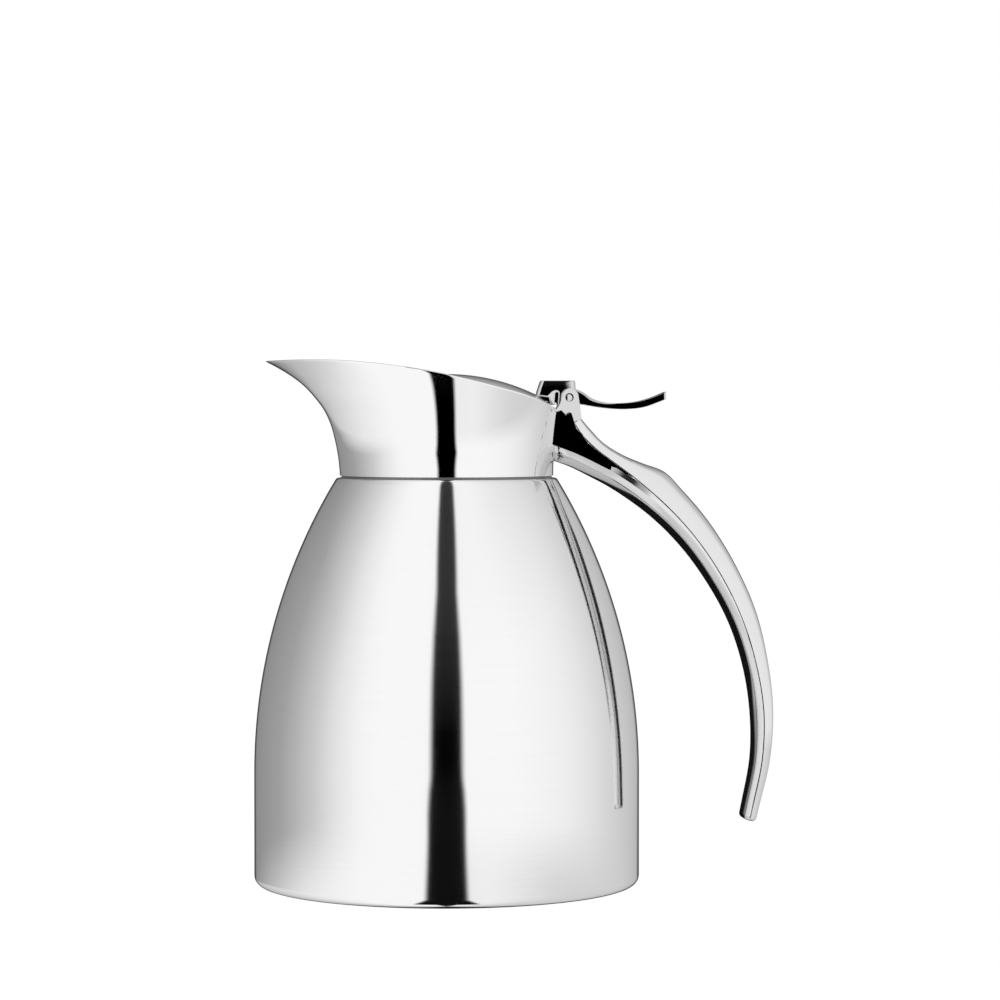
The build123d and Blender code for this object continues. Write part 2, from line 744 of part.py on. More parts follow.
def block_face():
    """Side view of the block on the lid, down to the barrel round the pin."""
    front, back, top = BLOCK_FRONT, BLOCK_BACK, BLOCK_TOP
    cut = BLOCK_CHAMFER
    mid_x = (STRAP_ARCH[0][0] + STRAP_ARCH[-1][0]) / 2
    return side_face(
        Polyline(
            hinge_point(front, BLOCK_FOOT),
            hinge_point(front, top - cut),
            hinge_point(front + cut, top),
            hinge_point(back - cut, top),
            hinge_point(back, top - cut),
            hinge_point(back, 0),
            hinge_point(mid_x, BLOCK_FOOT),
            hinge_point(front, BLOCK_FOOT),
        )
    )


def arm_face():
    """Side view of the thumb lever's arm."""
    top = [hinge_point(x, z) for x, z in LEVER_TOP]
    bottom = [hinge_point(x, z) for x, z in LEVER_BOTTOM]
    return side_face(
        Spline(*top),
        Line(top[-1], bottom[0]),
        Spline(*bottom),
        Polyline(bottom[-1], hinge_point(0, LEVER_BOTTOM[-1][1]), hinge_point(0, LEVER_TOP[0][1]), top[0]),
    )


def arm_plan():
    """Plan of the arm: as wide as the barrel between the ears, a little wider at the thumb pad."""
    neck = PIN[0] + LEVER_NECK
    end = PIN[0] + LEVER_PLAN_END
    side = [(PIN[0], LUG_HALF_W), (neck, LUG_HALF_W), (end, LEVER_PAD_HALF_W)]
    other_side = [(x, -y) for x, y in reversed(side)]
    face = make_face([Polyline(*side, *other_side, close=True)])
    corners = [v for v in face.vertices() if abs(v.X - end) < NEAR]
    face = fillet(corners, LEVER_PAD_ROUND)
    return extrude(Location((0, 0, SEAM_Z)) * face, amount=WIDE)


def barrel():
    """Barrel that runs on the pin between the ears."""
    turn = Location((PIN[0], 0, PIN[1]), (90, 0, 0))
    return turn * Cylinder(BARREL_R, 2 * LUG_HALF_W)


def thumb_lever():
    """Block, barrel and thumb lever in one casting, saddled over the strap and the dome."""
    arm = slab(arm_face(), WIDE) & arm_plan()
    lever = slab(block_face(), LUG_HALF_W) + barrel() + arm
    lever -= slab(strap_arch(), WIDE)
    lever -= lid_core()
    return lever - pin_solid(PIN_R + PIN_CLEARANCE) - rivet_set(0.0)


NODES = {
    "outer_shell": outer_shell,
    "base_pan": base_pan,
    "base_cover": base_cover,
    "vacuum_plug": vacuum_plug,
    "getter": getter,
    "vessel_upper": vessel_upper,
    "vessel_lower": vessel_lower,
    "heat_shield": heat_shield,
    "spout_collar": spout_collar,
    "pouring_ring": pouring_ring,
    "hinge_bracket": hinge_bracket,
    "handle_back": handle_back,
    "handle_grip": handle_grip,
    "hinge_pin": lambda: pin_solid(PIN_R),
    "lid_dome": lid_dome,
    "lid_pan": lid_pan,
    "lid_fill": lid_fill,
    "lid_gasket": lid_gasket,
    "lid_rivets": lambda: rivet_set(0.0),
    "hinge_strap": hinge_strap,
    "thumb_lever": thumb_lever,
}

os.makedirs("parts", exist_ok=True)
for name, make in NODES.items():
    export_step(make(), f"parts/{name}.step")
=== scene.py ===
"""Small steel jug with a hinged lid: the visible pieces, their finishes and the studio round them.

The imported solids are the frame. Lengths in the code are millimetres unless a name says otherwise,
and meshes are scaled to metres as they are made. The spout points along -X, the handle along +X.
"""
from math import ceil, cos, hypot, pi, radians, sin, sqrt, tan

import bmesh
import bpy
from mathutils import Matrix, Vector


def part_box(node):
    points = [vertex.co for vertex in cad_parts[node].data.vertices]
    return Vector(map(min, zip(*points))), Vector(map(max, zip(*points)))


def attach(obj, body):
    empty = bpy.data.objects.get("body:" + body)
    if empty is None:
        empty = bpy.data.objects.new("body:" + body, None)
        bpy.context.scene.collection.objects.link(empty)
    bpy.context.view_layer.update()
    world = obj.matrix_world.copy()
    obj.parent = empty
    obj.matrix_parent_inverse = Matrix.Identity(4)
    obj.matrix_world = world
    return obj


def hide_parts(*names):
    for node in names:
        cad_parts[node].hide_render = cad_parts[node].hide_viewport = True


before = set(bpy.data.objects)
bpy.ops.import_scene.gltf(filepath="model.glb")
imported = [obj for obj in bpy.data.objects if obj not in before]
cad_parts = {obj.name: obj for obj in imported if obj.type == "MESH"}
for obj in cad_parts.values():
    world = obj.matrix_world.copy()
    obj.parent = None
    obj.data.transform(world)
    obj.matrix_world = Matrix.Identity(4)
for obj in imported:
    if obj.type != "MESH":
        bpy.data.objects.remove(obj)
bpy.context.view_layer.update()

bl_info = {
    "name": "Steel Jug",
    "version": (1, 0, 0),
    "blender": (4, 5, 0),
    "location": "View3D > Sidebar > Jug",
    "description": "Builds a double-walled steel jug with a pouring collar, handle and hinged lid",
    "category": "Object",
}

MM = 0.001
# Steps of a quarter round, of a turned piece and of the collar, and the least angle of a sharp edge
ROUND_STEPS = 6
TURN_STEPS = 192
COLLAR_STEPS = 288
SHARP_ANGLE = 32.0


def box_mm(node):
    """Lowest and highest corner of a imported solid, in millimetres."""
    low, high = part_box(node)
    return low / MM, high / MM


SHELL_HIGH = box_mm("outer_shell")[1]
DOME_HIGH = box_mm("lid_dome")[1]
PIN_LOW, PIN_HIGH = box_mm("hinge_pin")
PIN_X = (PIN_LOW.x + PIN_HIGH.x) / 2
PIN_Z = (PIN_LOW.z + PIN_HIGH.z) / 2
SEAM_Z = box_mm("spout_collar")[0].z
# The pin stands this far behind the collar's round wall
PIN_SETBACK = 3.75
COLLAR_R = PIN_X - PIN_SETBACK

# Body: inner edge of the foot ring, neck inside the collar, start and rounding of the shoulder's edge
FOOT_INNER_R = 43.0
NECK_R = 24.6
SHOULDER_DROP = 1.6
SHOULDER_ROUND = 1.0
# Groove between body and collar: its height and depth, and the dark ring in it, a painted shade of the
# groove's hollow
SEAM_GAP = 0.6
SEAM_DEPTH = 0.4
SEAM_SHADE_RING_DEPTH = 0.36
SEAM_SHADE_RING_T = 0.3
SEAM_SHADE_RING_PLAY = 0.005
# Collar: how far its round wall flares up to a height, its ledge on the body and its rounded lip
FLARE = 1.25
FLARE_H = 16.6
LEDGE_T = 0.9
LIP_H = 0.3
# Most height of the rim, how narrow the spout is, and how closely the collar's columns stand in it
RIM_LIMIT = 30.3
SPOUT_POWER = 6
SPOUT_CROWDING = 0.35
# Collar: height over the seam and how far the spout reaches past the round wall there
SPOUT_REACH = [(0.6, 0.0), (5.4, 0.35), (9.4, 0.85), (13.4, 1.55), (16.9, 2.7), (19.9, 4.4), (22.9, 6.6),
               (25.9, 9.95), (28.15, 13.3), (30.4, 17.4)]
# The collar's rim seen from the side: X, and height over the seam
RIM_LINE = [(-52.0, 29.1), (-44.0, 29.15), (-36.0, 29.3), (-26.0, 29.1), (-14.0, 28.0), (-4.6, 26.6),
            (5.9, 24.4), (13.4, 22.5), (19.6, 20.8), (24.6, 18.9), (30.0, 15.6)]
# Handle halves: X from the collar's rear, Z from the seam, depth, height of side wall, half width
GRIP_STATIONS = [
    (-1.6, 8.6, 3.7, 1.4, 6.0),
    (5.05, 6.3, 3.65, 1.4, 6.0),
    (10.5, 3.7, 3.7, 1.4, 6.0),
    (15.8, 0.85, 3.7, 1.4, 6.2),
    (20.8, -2.45, 3.65, 1.45, 6.7),
    (25.5, -6.2, 3.45, 1.2, 7.2),
    (34.0, -14.5, 3.4, 0.75, 7.5),
    (40.9, -24.3, 3.1, 0.65, 7.4),
    (46.5, -34.9, 2.95, 0.25, 7.2),
    (50.3, -46.2, 3.0, 0.03, 7.0),
    (52.25, -58.0, 3.05, 0.03, 6.7),
    (51.95, -69.9, 2.65, 0.03, 6.3),
    (49.65, -81.7, 2.4, 0.03, 5.8),
    (48.85, -85.6, 2.4, 0.03, 5.8),
]
# The back half has no side wall of its own, so that column is 0
BACK_STATIONS = [
    (5.15, 13.7, 2.1, 0.0, 6.0),
    (7.4, 10.4, 2.5, 0.0, 6.0),
    (10.95, 6.95, 2.35, 0.0, 6.0),
    (15.85, 3.4, 2.75, 0.0, 6.2),
    (19.85, 0.4, 4.05, 0.0, 6.6),
    (23.65, -2.75, 5.85, 0.0, 7.1),
    (28.35, -7.05, 5.6, 0.0, 7.3),
    (34.85, -14.2, 5.2, 0.0, 7.5),
    (41.6, -24.0, 4.6, 0.0, 7.4),
    (46.85, -34.8, 4.15, 0.0, 7.2),
    (50.4, -46.2, 3.35, 0.0, 7.0),
    (52.35, -58.0, 2.7, 0.0, 6.7),
    (52.05, -69.9, 2.25, 0.0, 6.3),
    (49.75, -81.7, 1.85, 0.0, 5.8),
    (48.85, -85.6, 1.85, 0.0, 5.8),
]

# Back half: how far the surface has turned from the side, in degrees, and the share of depth up to there
BACK_TURNS = [(14.0, 0.0), (27.0, 0.68), (76.0, 0.22)]
# Both halves: cut at the seam and rounding of the tip. Grip: lean of its side wall, share and power of
# its crown, turn of its flank in degrees, and how deep it ends in the collar
SEAM_CUT = 0.1
TIP_ROUND = 1.2
SIDE_LEAN = 0.18
GRIP_CROWN = 0.5
GRIP_POWER = 1.25
GRIP_FLANK = (37.0, 50.0)
GRIP_SUNK = 0.35

# Hinge bracket seen from the side: X and Z
FLANK_LOW = [(28.7, 109.0), (31.7, 107.9), (35.15, 106.3), (37.15, 105.3), (38.9, 104.4), (40.8, 103.45)]
FLANK_END = [(41.1, 104.45), (42.35, 104.1), (44.7, 102.35), (46.5, 101.75)]
FLANK_HIGH = [(43.52, 104.1), (41.85, 105.3), (40.65, 106.15), (37.78, 108.3), (35.15, 110.35),
              (34.07, 112.0), (33.6, 112.83), (32.76, 113.43), (32.28, 113.9)]
TOOTH_LINE = [(31.08, 117.73), (30.6, 117.97), (29.65, 117.3), (28.57, 118.45), (27.26, 118.1)]
FLANK_LEFT = [(27.1, 117.8), (26.75, 115.0), (26.4, 112.0), (26.23, 109.95)]
EAR_RIGHT = [(33.6, 115.9), (33.5, 117.0), (33.3, 118.5), (33.05, 120.4)]
EAR_LEFT = [(28.4, 121.0), (28.15, 120.2), (27.6, 119.3), (27.05, 118.5)]
EAR_HEAD = (30.62, 121.72, 2.22)
SADDLE = [(29.0, 113.0), (27.0, 117.0), (27.35, 118.85), (30.4, 118.9), (31.6, 117.8), (33.3, 116.1),
          (34.1, 114.5), (34.3, 112.6), (32.0, 112.2)]

# Bracket across the jug: inner and outer face of the ears, lean of the outer one in degrees, other faces
EAR_INNER_Y = 4.65
EAR_OUTER_Y = 6.05
EAR_FRONT_X = 27.0
EAR_LEAN = 9.0
FLANK_Y = 6.08
SADDLE_Y = 4.66
# Pin: radius and distance from the middle along its end, and place from the pin's line and radius of its hole
PIN_END = [(0.78, 5.5), (0.86, 5.47), (0.9, 5.4)]
PIN_HOLE = (0.13, 0.12, 1.06)

# Strap over the rim, block and lever, measured from the pin. Block levels: Z, front and back X, inset
STRAP_OUTER = [(-7.8, 0.45), (-7.8, 0.8), (-5.3, 0.5), (-4.75, 1.05), (-4.2, 1.6), (-3.5, 1.9), (-2.85, 1.9),
               (-2.4, 1.6), (-2.27, 1.1), (-2.5, -1.75)]
STRAP_INNER = [(-2.82, -1.75), (-2.62, 1.0), (-2.8, 1.35), (-3.15, 1.4), (-3.45, 1.1), (-3.6, -1.0),
               (-3.3, -1.75), (-4.4, -1.75), (-4.85, -0.8), (-4.95, 0.1)]
BLOCK_LEVELS = [(-1.2, -8.3, 1.7, 0.0), (0.7, -8.1, 1.72, 0.0), (2.0, -7.75, 1.75, 0.0),
                (3.9, -7.1, 1.68, 0.0), (4.2, -7.0, 1.55, 0.06), (4.3, -6.9, 1.45, 0.25)]
LEVER_TOP = [(0.0, 2.6), (1.75, 2.2), (3.6, 1.4), (5.5, 0.05), (8.4, -1.0), (13.1, -1.3), (17.4, -0.85),
             (20.4, -0.05), (24.2, 1.5)]
LEVER_BOTTOM = [(0.0, -1.4), (3.0, -1.6), (5.45, -2.05), (8.4, -2.5), (14.4, -2.85), (18.9, -2.3),
                (22.0, -1.2), (24.3, -0.3)]
STRAP_OUTER_Y = 6.4
STRAP_REAR_X = -2.3
STRAP_LEAN = 10.0
BLOCK_FRONT_ROUND = 0.85
BLOCK_BACK_ROUND = 1.2
# Lever: half width, where it starts, where it starts to widen and how slowly, and its cut corners
LEVER_HALF_W = 4.4
LEVER_START = 0.6
LEVER_WIDENS_AT = 6.0
LEVER_WIDENS_BY = 18.0
TIP_CORNER = 0.3
BEVEL_LEAST = 0.08
BEVEL_MOST = 0.75
BEVEL_MOST_AT = 5.0
BEVEL_FALL = 0.09
BEVEL_SHARE = 0.45
# Barrel: bore and outer radius, and rounding of its rim
BARREL_BORE_R = 0.95
BARREL_R = 2.1
BARREL_ROUND = 0.2
# Lid's cover: sheet, height and roundings of its rim, end of its arc before the rim and rise to its edge
LID_SHEET = 0.6
LID_RIM_H = 1.6
LID_EDGE_ROUND = 0.7
LID_FOOT_ROUND = 0.15
LID_ARC_INSET = 0.5
LID_EDGE_RISE = 0.05

# Finishes: colour and the values of their marks, or the names of the settings that hold them
MARK_VALUES = ("Roughness", "Variation", "Stretch", "Scale", "Tone", "Depth")
FINISHES = {
    "Body sheet": ("steel", "body_roughness", 0.35, 26.0, 60.0, 0.03, 0.12),
    "Bright sheet": ("steel", "bright_roughness", 0.3, 8.0, 60.0, 0.02, 0.04),
    "Bright casting": ("casting", "bright_roughness", 0.3, 2.0, 90.0, 0.03, 0.06),
    "Bright handle": ("handle", "bright_roughness", 0.3, 2.0, 90.0, 0.02, 0.04),
    # Dark ring in the collar's groove: painted shade of the groove's hollow
    "Seam": ((0.22, 0.22, 0.22), 0.4, 0.3, 1.0, 90.0, 0.1, 0.2),
    "Vessel sheet": ((0.7, 0.7, 0.69), 0.22, 0.3, 20.0, 60.0, 0.05, 0.2),
    "Plain sheet": ((0.62, 0.62, 0.62), 0.3, 0.3, 6.0, 60.0, 0.06, 0.2),
    "Satin disc": ((0.68, 0.68, 0.67), 0.35, 0.3, 1.0, 120.0, 0.08, 0.4),
    "Foil": ((0.85, 0.85, 0.86), 0.25, 0.5, 1.0, 90.0, 0.1, 0.8),
    "Solder": ((0.6, 0.6, 0.6), 0.45, 0.4, 1.0, 200.0, 0.1, 0.6),
    "Foam": ((0.88, 0.86, 0.78), 0.9, 0.2, 1.0, 400.0, 0.15, 0.8),
    "Silicone": ((0.86, 0.86, 0.85), 0.5, 0.2, 1.0, 150.0, 0.04, 0.2),
}
# The finishes that are no metals, and the share of light that goes into each
GRAINED = {"Foam": 0.0, "Silicone": 0.3}
# Finishes of the pieces that stay as packed
GIVEN = {
    "Vessel sheet": ("vessel_upper", "vessel_lower", "pouring_ring", "lid_pan"),
    "Plain sheet": ("base_pan", "getter", "lid_rivets"),
    "Satin disc": ("base_cover",),
    "Foil": ("heat_shield",),
    "Solder": ("vacuum_plug",),
    "Foam": ("lid_fill",),
    "Silicone": ("lid_gasket",),
}

# Tent: level by the angle from the camera, in degrees, for level directions and for lower ones
TENT_MAIN = [(-180, 0.03), (-166, 0.05), (-160, 0.27), (-136, 0.32), (-117, 0.37), (-102, 0.47), (-85, 0.62),
             (-69, 0.82), (-52, 0.97), (-40, 1.0), (-10, 1.0), (10, 1.0), (40, 1.0), (60, 0.96), (74, 0.92),
             (90, 0.84), (109, 0.72), (131, 0.62), (158, 0.5), (166, 0.05), (180, 0.03)]
TENT_LOW = [(-180, 0.03), (-172, 0.05), (-166, 0.3), (-156, 0.5), (-136, 0.64), (-112, 0.76), (-92, 0.86),
            (-69, 0.95), (-52, 1.0), (-40, 1.0), (-10, 1.0), (10, 0.9), (26, 0.92), (38, 0.87), (54, 0.78),
            (68, 0.71), (85, 0.68), (109, 0.66), (131, 0.64), (158, 0.5), (166, 0.05), (180, 0.03)]
# Share of the level directions' curve, and half the gap's width, by the angle of rise in degrees
TENT_BLEND = [(-90, 0.0), (-12.5, 0.0), (-8.5, 1.0), (22, 1.0), (50, 0.6), (90, 0.5)]
GAP_WIDTHS = [(-90, 11.0), (-26, 9.8), (-13, 9.6), (-10, 10.0), (-7.8, 11.0), (-6.3, 10.2), (-4, 9.4),
              (16, 9.4), (26, 9.0), (36, 8.0), (51, 9.4), (60, 9.9), (90, 9.9)]
# Least level behind the jug by the angle from the camera, and its share by the angle of rise
TENT_BACK = [(-180, 0.45), (-166, 0.42), (-158, 0.25), (-150, 0.0), (0, 0.0), (150, 0.0), (158, 0.25),
             (166, 0.42), (180, 0.45)]
BACK_RISE = [(-90, 0.0), (2, 0.0), (9, 0.25), (26, 1.0), (90, 1.0)]
# Dark cards, in metres: place along Y, half width at the floor, growth of it downwards, bottom and top
CARDS = {"card_back": (0.15, 0.06, 0.0, -0.25, 0.145), "card_front": (-0.25, 0.048, 0.2, -0.5, 0.04)}
CARD_SIDE_SOFT = 0.016
CARD_TOP_SOFT = 0.05
# Half the soft edge of the gap and the unit of its widths in degrees, and half the floor's side in metres
GAP_SOFT = 1.6
GAP_WIDTH_UNIT = 20.0
FLOOR_REACH = 6.0
# Camera: focal length and sensor in millimetres, height and the point it looks at in metres
CAMERA_LENS = 127.4
CAMERA_SENSOR = 36.0
CAMERA_HEIGHT = 0.1205
CAMERA_AIM = (0.01335, 0.0, 0.096)


class JugSizes(bpy.types.PropertyGroup):
    """Sizes of the jug's turned parts."""
    body_radius: bpy.props.FloatProperty(
        name="Body radius", description="Radius of the straight wall",
        default=SHELL_HIGH.x * MM, unit="LENGTH", subtype="DISTANCE",
    )
    straight_height: bpy.props.FloatProperty(
        name="Straight height", description="Height at which the wall starts to curve in",
        default=28.0 * MM, unit="LENGTH", subtype="DISTANCE",
    )
    shoulder_radius: bpy.props.FloatProperty(
        name="Shoulder radius", description="Radius of the shoulder's edge under the collar",
        default=27.5 * MM, unit="LENGTH", subtype="DISTANCE",
    )
    foot_round: bpy.props.FloatProperty(
        name="Foot rounding", description="Rounding where the wall meets the foot",
        default=2.3 * MM, unit="LENGTH", subtype="DISTANCE",
    )
    sheet: bpy.props.FloatProperty(
        name="Sheet", description="Thickness of the drawn sheet",
        default=0.6 * MM, unit="LENGTH", subtype="DISTANCE",
    )
    collar_sheet: bpy.props.FloatProperty(
        name="Collar sheet", description="Thickness of the collar's wall",
        default=0.8 * MM, unit="LENGTH", subtype="DISTANCE",
    )
    lid_radius: bpy.props.FloatProperty(
        name="Lid radius", description="Radius of the domed cover",
        default=DOME_HIGH.x * MM, unit="LENGTH", subtype="DISTANCE",
    )
    lid_crown: bpy.props.FloatProperty(
        name="Lid crown", description="Radius of the dome's arc",
        default=51.0 * MM, unit="LENGTH", subtype="DISTANCE",
    )


class JugFinish(bpy.types.PropertyGroup):
    """Colours and polish of the metals."""
    steel: bpy.props.FloatVectorProperty(
        name="Polished steel", description="Colour of the polished sheet",
        default=(0.93, 0.93, 0.935), subtype="COLOR", min=0.0, max=1.0,
    )
    casting: bpy.props.FloatVectorProperty(
        name="Polished casting", description="Colour of the cast hinge pieces",
        default=(0.68, 0.68, 0.685), subtype="COLOR", min=0.0, max=1.0,
    )
    handle: bpy.props.FloatVectorProperty(
        name="Polished handle", description="Colour of the pressed handle halves",
        default=(0.79, 0.79, 0.795), subtype="COLOR", min=0.0, max=1.0,
    )
    body_roughness: bpy.props.FloatProperty(
        name="Body roughness", description="Blur of the reflections in the body",
        default=0.075, min=0.0, max=1.0, subtype="FACTOR",
    )
    bright_roughness: bpy.props.FloatProperty(
        name="Bright roughness", description="Blur of the reflections in collar, handle and hinge",
        default=0.045, min=0.0, max=1.0, subtype="FACTOR",
    )


class JugStudio(bpy.types.PropertyGroup):
    """Light tent round the jug."""
    wall_level: bpy.props.FloatProperty(
        name="Wall level", description="Brightness of the tent's walls",
        default=1.0, min=0.0, soft_max=2.0,
    )
    lens_distance: bpy.props.FloatProperty(
        name="Camera distance", description="Distance of the camera from the jug's axis",
        default=0.885, unit="LENGTH", subtype="DISTANCE",
    )


def sizes():
    """The jug's sizes in millimetres, by name."""
    group = bpy.context.scene.jug_sizes
    return {key: getattr(group, key) / MM for key in JugSizes.__annotations__}


def new_object(name, points, faces, unit=MM):
    """Mesh object in the scene, from points in a unit."""
    mesh = bpy.data.meshes.new(name)
    mesh.from_pydata([tuple(value * unit for value in point) for point in points], [], faces)
    made = bpy.data.objects.new(name, mesh)
    bpy.context.scene.collection.objects.link(made)
    return made


def add_piece(name, points, faces, material, body, nodes, slot_name):
    """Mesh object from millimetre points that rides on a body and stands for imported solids."""
    piece = new_object(name, points, faces)
    piece.data.validate()
    tidy_mesh(piece.data)
    piece.data.materials.append(material)
    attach(piece, body)
    if nodes:
        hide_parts(*nodes)
    return piece


def add_casting(name, points, faces, body, nodes):
    """Piece of polished casting."""
    return add_piece(name, points, faces, finish("Bright casting"), body, nodes, "polished_casting")


def tidy_mesh(mesh, smooth=True):
    """Joins doubled points, turns the faces outward and leaves sharp edges at real corners."""
    shape = bmesh.new()
    shape.from_mesh(mesh)
    bmesh.ops.remove_doubles(shape, verts=shape.verts, dist=1e-7)
    bmesh.ops.dissolve_degenerate(shape, edges=shape.edges, dist=1e-7)
    bmesh.ops.recalc_face_normals(shape, faces=shape.faces)
    shade(shape, smooth)
    shape.to_mesh(mesh)
    shape.free()


def corner_edges(shape, angle):
    """Edges at which two faces meet at more than an angle in degrees."""
    return [
        edge for edge in shape.edges
        if len(edge.link_faces) == 2 and edge.calc_face_angle(0.0) > radians(angle)
    ]


def shade(shape, smooth):
    """Smooth or flat faces, with sharp edges at real corners."""
    for face in shape.faces:
        face.smooth = smooth
    for edge in shape.edges:
        edge.smooth = True
    for edge in corner_edges(shape, SHARP_ANGLE):
        edge.smooth = False


def rounded_line(corners, closed=True):
    """Points along a line of (a, b, radius) corners, with each corner replaced by its arc."""
    count = len(corners)
    line = []
    for index, (a, b, radius) in enumerate(corners):
        here = Vector((a, b))
        if radius == 0 or (not closed and index in (0, count - 1)):
            line.append((a, b))
            continue
        before = Vector(corners[index - 1][:2]) - here
        after = Vector(corners[(index + 1) % count][:2]) - here
        before.normalize()
        after.normalize()
        half = before.angle(after) / 2
        reach = radius / tan(half)
        start = here + before * reach
        end = here + after * reach
        centre = here + (before + after).normalized() * (radius / sin(half))
        first = start - centre
        swing = first.angle_signed(end - centre)
        steps = max(2, ceil(abs(swing) / (pi / 2) * ROUND_STEPS))
        for step in range(steps + 1):
            turn = -swing * step / steps
            across = first.x * cos(turn) - first.y * sin(turn)
            up = first.x * sin(turn) + first.y * cos(turn)
            line.append(tuple(centre + Vector((across, up))))
    return line


def lathe(name, section, material, body, nodes, slot_name, closed=True):
    """Solid turned about Z from a section of (radius, height) points."""
    points = []
    faces = []
    count = len(section)
    for step in range(TURN_STEPS):
        turn = 2 * pi * step / TURN_STEPS
        for r, z in section:
            points.append((r * cos(turn), r * sin(turn), z))
    for step in range(TURN_STEPS):
        here = step * count
        there = (step + 1) % TURN_STEPS * count
        for index in range(count if closed else count - 1):
            after = (index + 1) % count
            faces.append((here + index, there + index, there + after, here + after))
    return add_piece(name, points, faces, material, body, nodes, slot_name)


def skin(rings, closed_ends=True):
    """Points and faces of a tube through equal rings of points."""
    count = len(rings[0])
    points = [point for ring in rings for point in ring]
    faces = []
    for row in range(len(rings) - 1):
        for index in range(count):
            after = (index + 1) % count
            a = row * count
            b = a + count
            faces.append((a + index, a + after, b + after, b + index))
    if closed_ends:
        faces.append(tuple(range(count)))
        faces.append(tuple(range(len(points) - count, len(points))))
    return points, faces


def arc_rows(rows, per_span):
    """Rows of numbers made denser with a smooth curve through them, spaced by their first two columns."""
    knots = [0.0]
    for row, after in zip(rows, rows[1:]):
        knots.append(knots[-1] + hypot(after[0] - row[0], after[1] - row[1]))
    slopes = []
    for index in range(len(rows)):
        low = max(index - 1, 0)
        high = min(index + 1, len(rows) - 1)
        span = knots[high] - knots[low]
        slopes.append([(b - a) / span for a, b in zip(rows[low], rows[high])])
        if 0 < index < len(rows) - 1:
            back = knots[index] - knots[index - 1]
            ahead = knots[index + 1] - knots[index]
            slopes[-1] = [
                ((here - before) / back * ahead + (after - here) / ahead * back) / span
                for before, here, after in zip(rows[index - 1], rows[index], rows[index + 1])
            ]
    dense = []
    for index in range(len(rows) - 1):
        span = knots[index + 1] - knots[index]
        for step in range(per_span):
            t = step / per_span
            dense.append([
                (2 * t ** 3 - 3 * t ** 2 + 1) * a + (t ** 3 - 2 * t ** 2 + t) * span * da
                + (3 * t ** 2 - 2 * t ** 3) * b + (t ** 3 - t ** 2) * span * db
                for a, b, da, db in zip(rows[index], rows[index + 1], slopes[index], slopes[index + 1])
            ])
    dense.append(list(rows[-1]))
    return dense


def smooth_curve(table, per_span):
    """Function that gives the smooth value of a table of (x, y) rows, level beyond its ends."""
    dense = arc_rows(table, per_span)

    def value_at(x):
        for low, high in zip(dense, dense[1:]):
            if low[0] <= x <= high[0]:
                return low[1] + (high[1] - low[1]) * (x - low[0]) / (high[0] - low[0])
        return dense[0][1] if x < dense[0][0] else dense[-1][1]

    return value_at


def body_section(size):
    """Closed section of the drawn shell: foot, wall, shoulder, neck, and back down the inside."""
    radius, straight = size["body_radius"], size["straight_height"]
    shoulder, sheet = size["shoulder_radius"], size["sheet"]
    inward = radius - shoulder
    big = (inward ** 2 + (SEAM_Z - straight) ** 2) / (2 * inward)

    def wall(z, offset):
        return radius - big + sqrt((big - offset) ** 2 - (z - straight) ** 2)

    foot = size["foot_round"]
    neck_top = SHELL_HIGH.z
    outer = rounded_line([(FOOT_INNER_R, 0.0, 0), (radius, 0.0, foot), (radius, straight, 0)], closed=False)
    steps = 64
    low_edge = SEAM_Z - SHOULDER_DROP
    heights = [straight + (low_edge - straight) * i / steps for i in range(1, steps + 1)]
    arc = [(wall(z, 0.0), z) for z in heights]
    edge = rounded_line(
        [arc[-1] + (0,), (shoulder, SEAM_Z, SHOULDER_ROUND), (NECK_R, SEAM_Z, 0)], closed=False
    )
    high = SEAM_Z - sheet
    inner_neck = NECK_R - sheet
    outer += arc + edge[1:] + [(NECK_R, neck_top), (inner_neck, neck_top), (inner_neck, high)]
    inner = [(wall(z, sheet), z) for z in (high - (high - straight) * i / steps for i in range(steps + 1))]
    foot_inside = rounded_line(
        [(radius - sheet, straight, 0), (radius - sheet, sheet, foot - sheet), (FOOT_INNER_R, sheet, 0)],
        closed=False,
    )
    return outer + inner + foot_inside[1:]


def collar_round(height):
    """Radius of the collar's round part at a height over the seam."""
    return COLLAR_R + FLARE * (height / FLARE_H) ** 2


def collar_radius(turn, height, reach):
    """Radius of the collar in a direction: round, and swelling into the spout at -X."""
    swell = ((1 - cos(turn)) / 2) ** SPOUT_POWER
    return collar_round(height) + reach * swell


def rim_height(turn, reach_at, rim_at):
    """Height over the seam at which the wall meets the rim line, in one direction."""
    low, high = SEAM_GAP, RIM_LIMIT
    for _ in range(30):
        mid = (low + high) / 2
        x = collar_radius(turn, mid, reach_at(mid)) * cos(turn)
        if mid < rim_at(x):
            low = mid
        else:
            high = mid
    return low


def collar_column(turn, sheet, reach_at, rim_at):
    """Section of the collar in one direction: ledge, outer wall, rounded lip and inner wall."""
    rows = 56
    rise = 0.05
    lip = min(LIP_H, sheet / 2 - 0.02)
    top = rim_height(turn, reach_at, rim_at)
    outer = []
    inner = []
    for row in range(rows + 1):
        height = SEAM_GAP + (top - lip - SEAM_GAP) * row / rows
        r = collar_radius(turn, height, reach_at(height))
        lean = (collar_radius(turn, height + rise, reach_at(height + rise)) - r) / rise
        outer.append((r, height))
        inner.append((r - sheet * sqrt(1 + lean * lean), height))
    out_r, out_h = outer[-1]
    in_r = inner[-1][0]
    crest = []
    for index in range(1, 8):
        turned = pi * index / 8
        middle = (out_r + in_r) / 2 + (out_r - in_r) / 2 * cos(turned)
        crest.append((middle + lean * lip * sin(turned), out_h + lip * sin(turned)))
    foot = [(NECK_R, 0.0), (COLLAR_R - SEAM_DEPTH, 0.0), (COLLAR_R - SEAM_DEPTH, SEAM_GAP)]
    return foot + outer + crest + inner[:0:-1] + [(NECK_R, LEDGE_T)]


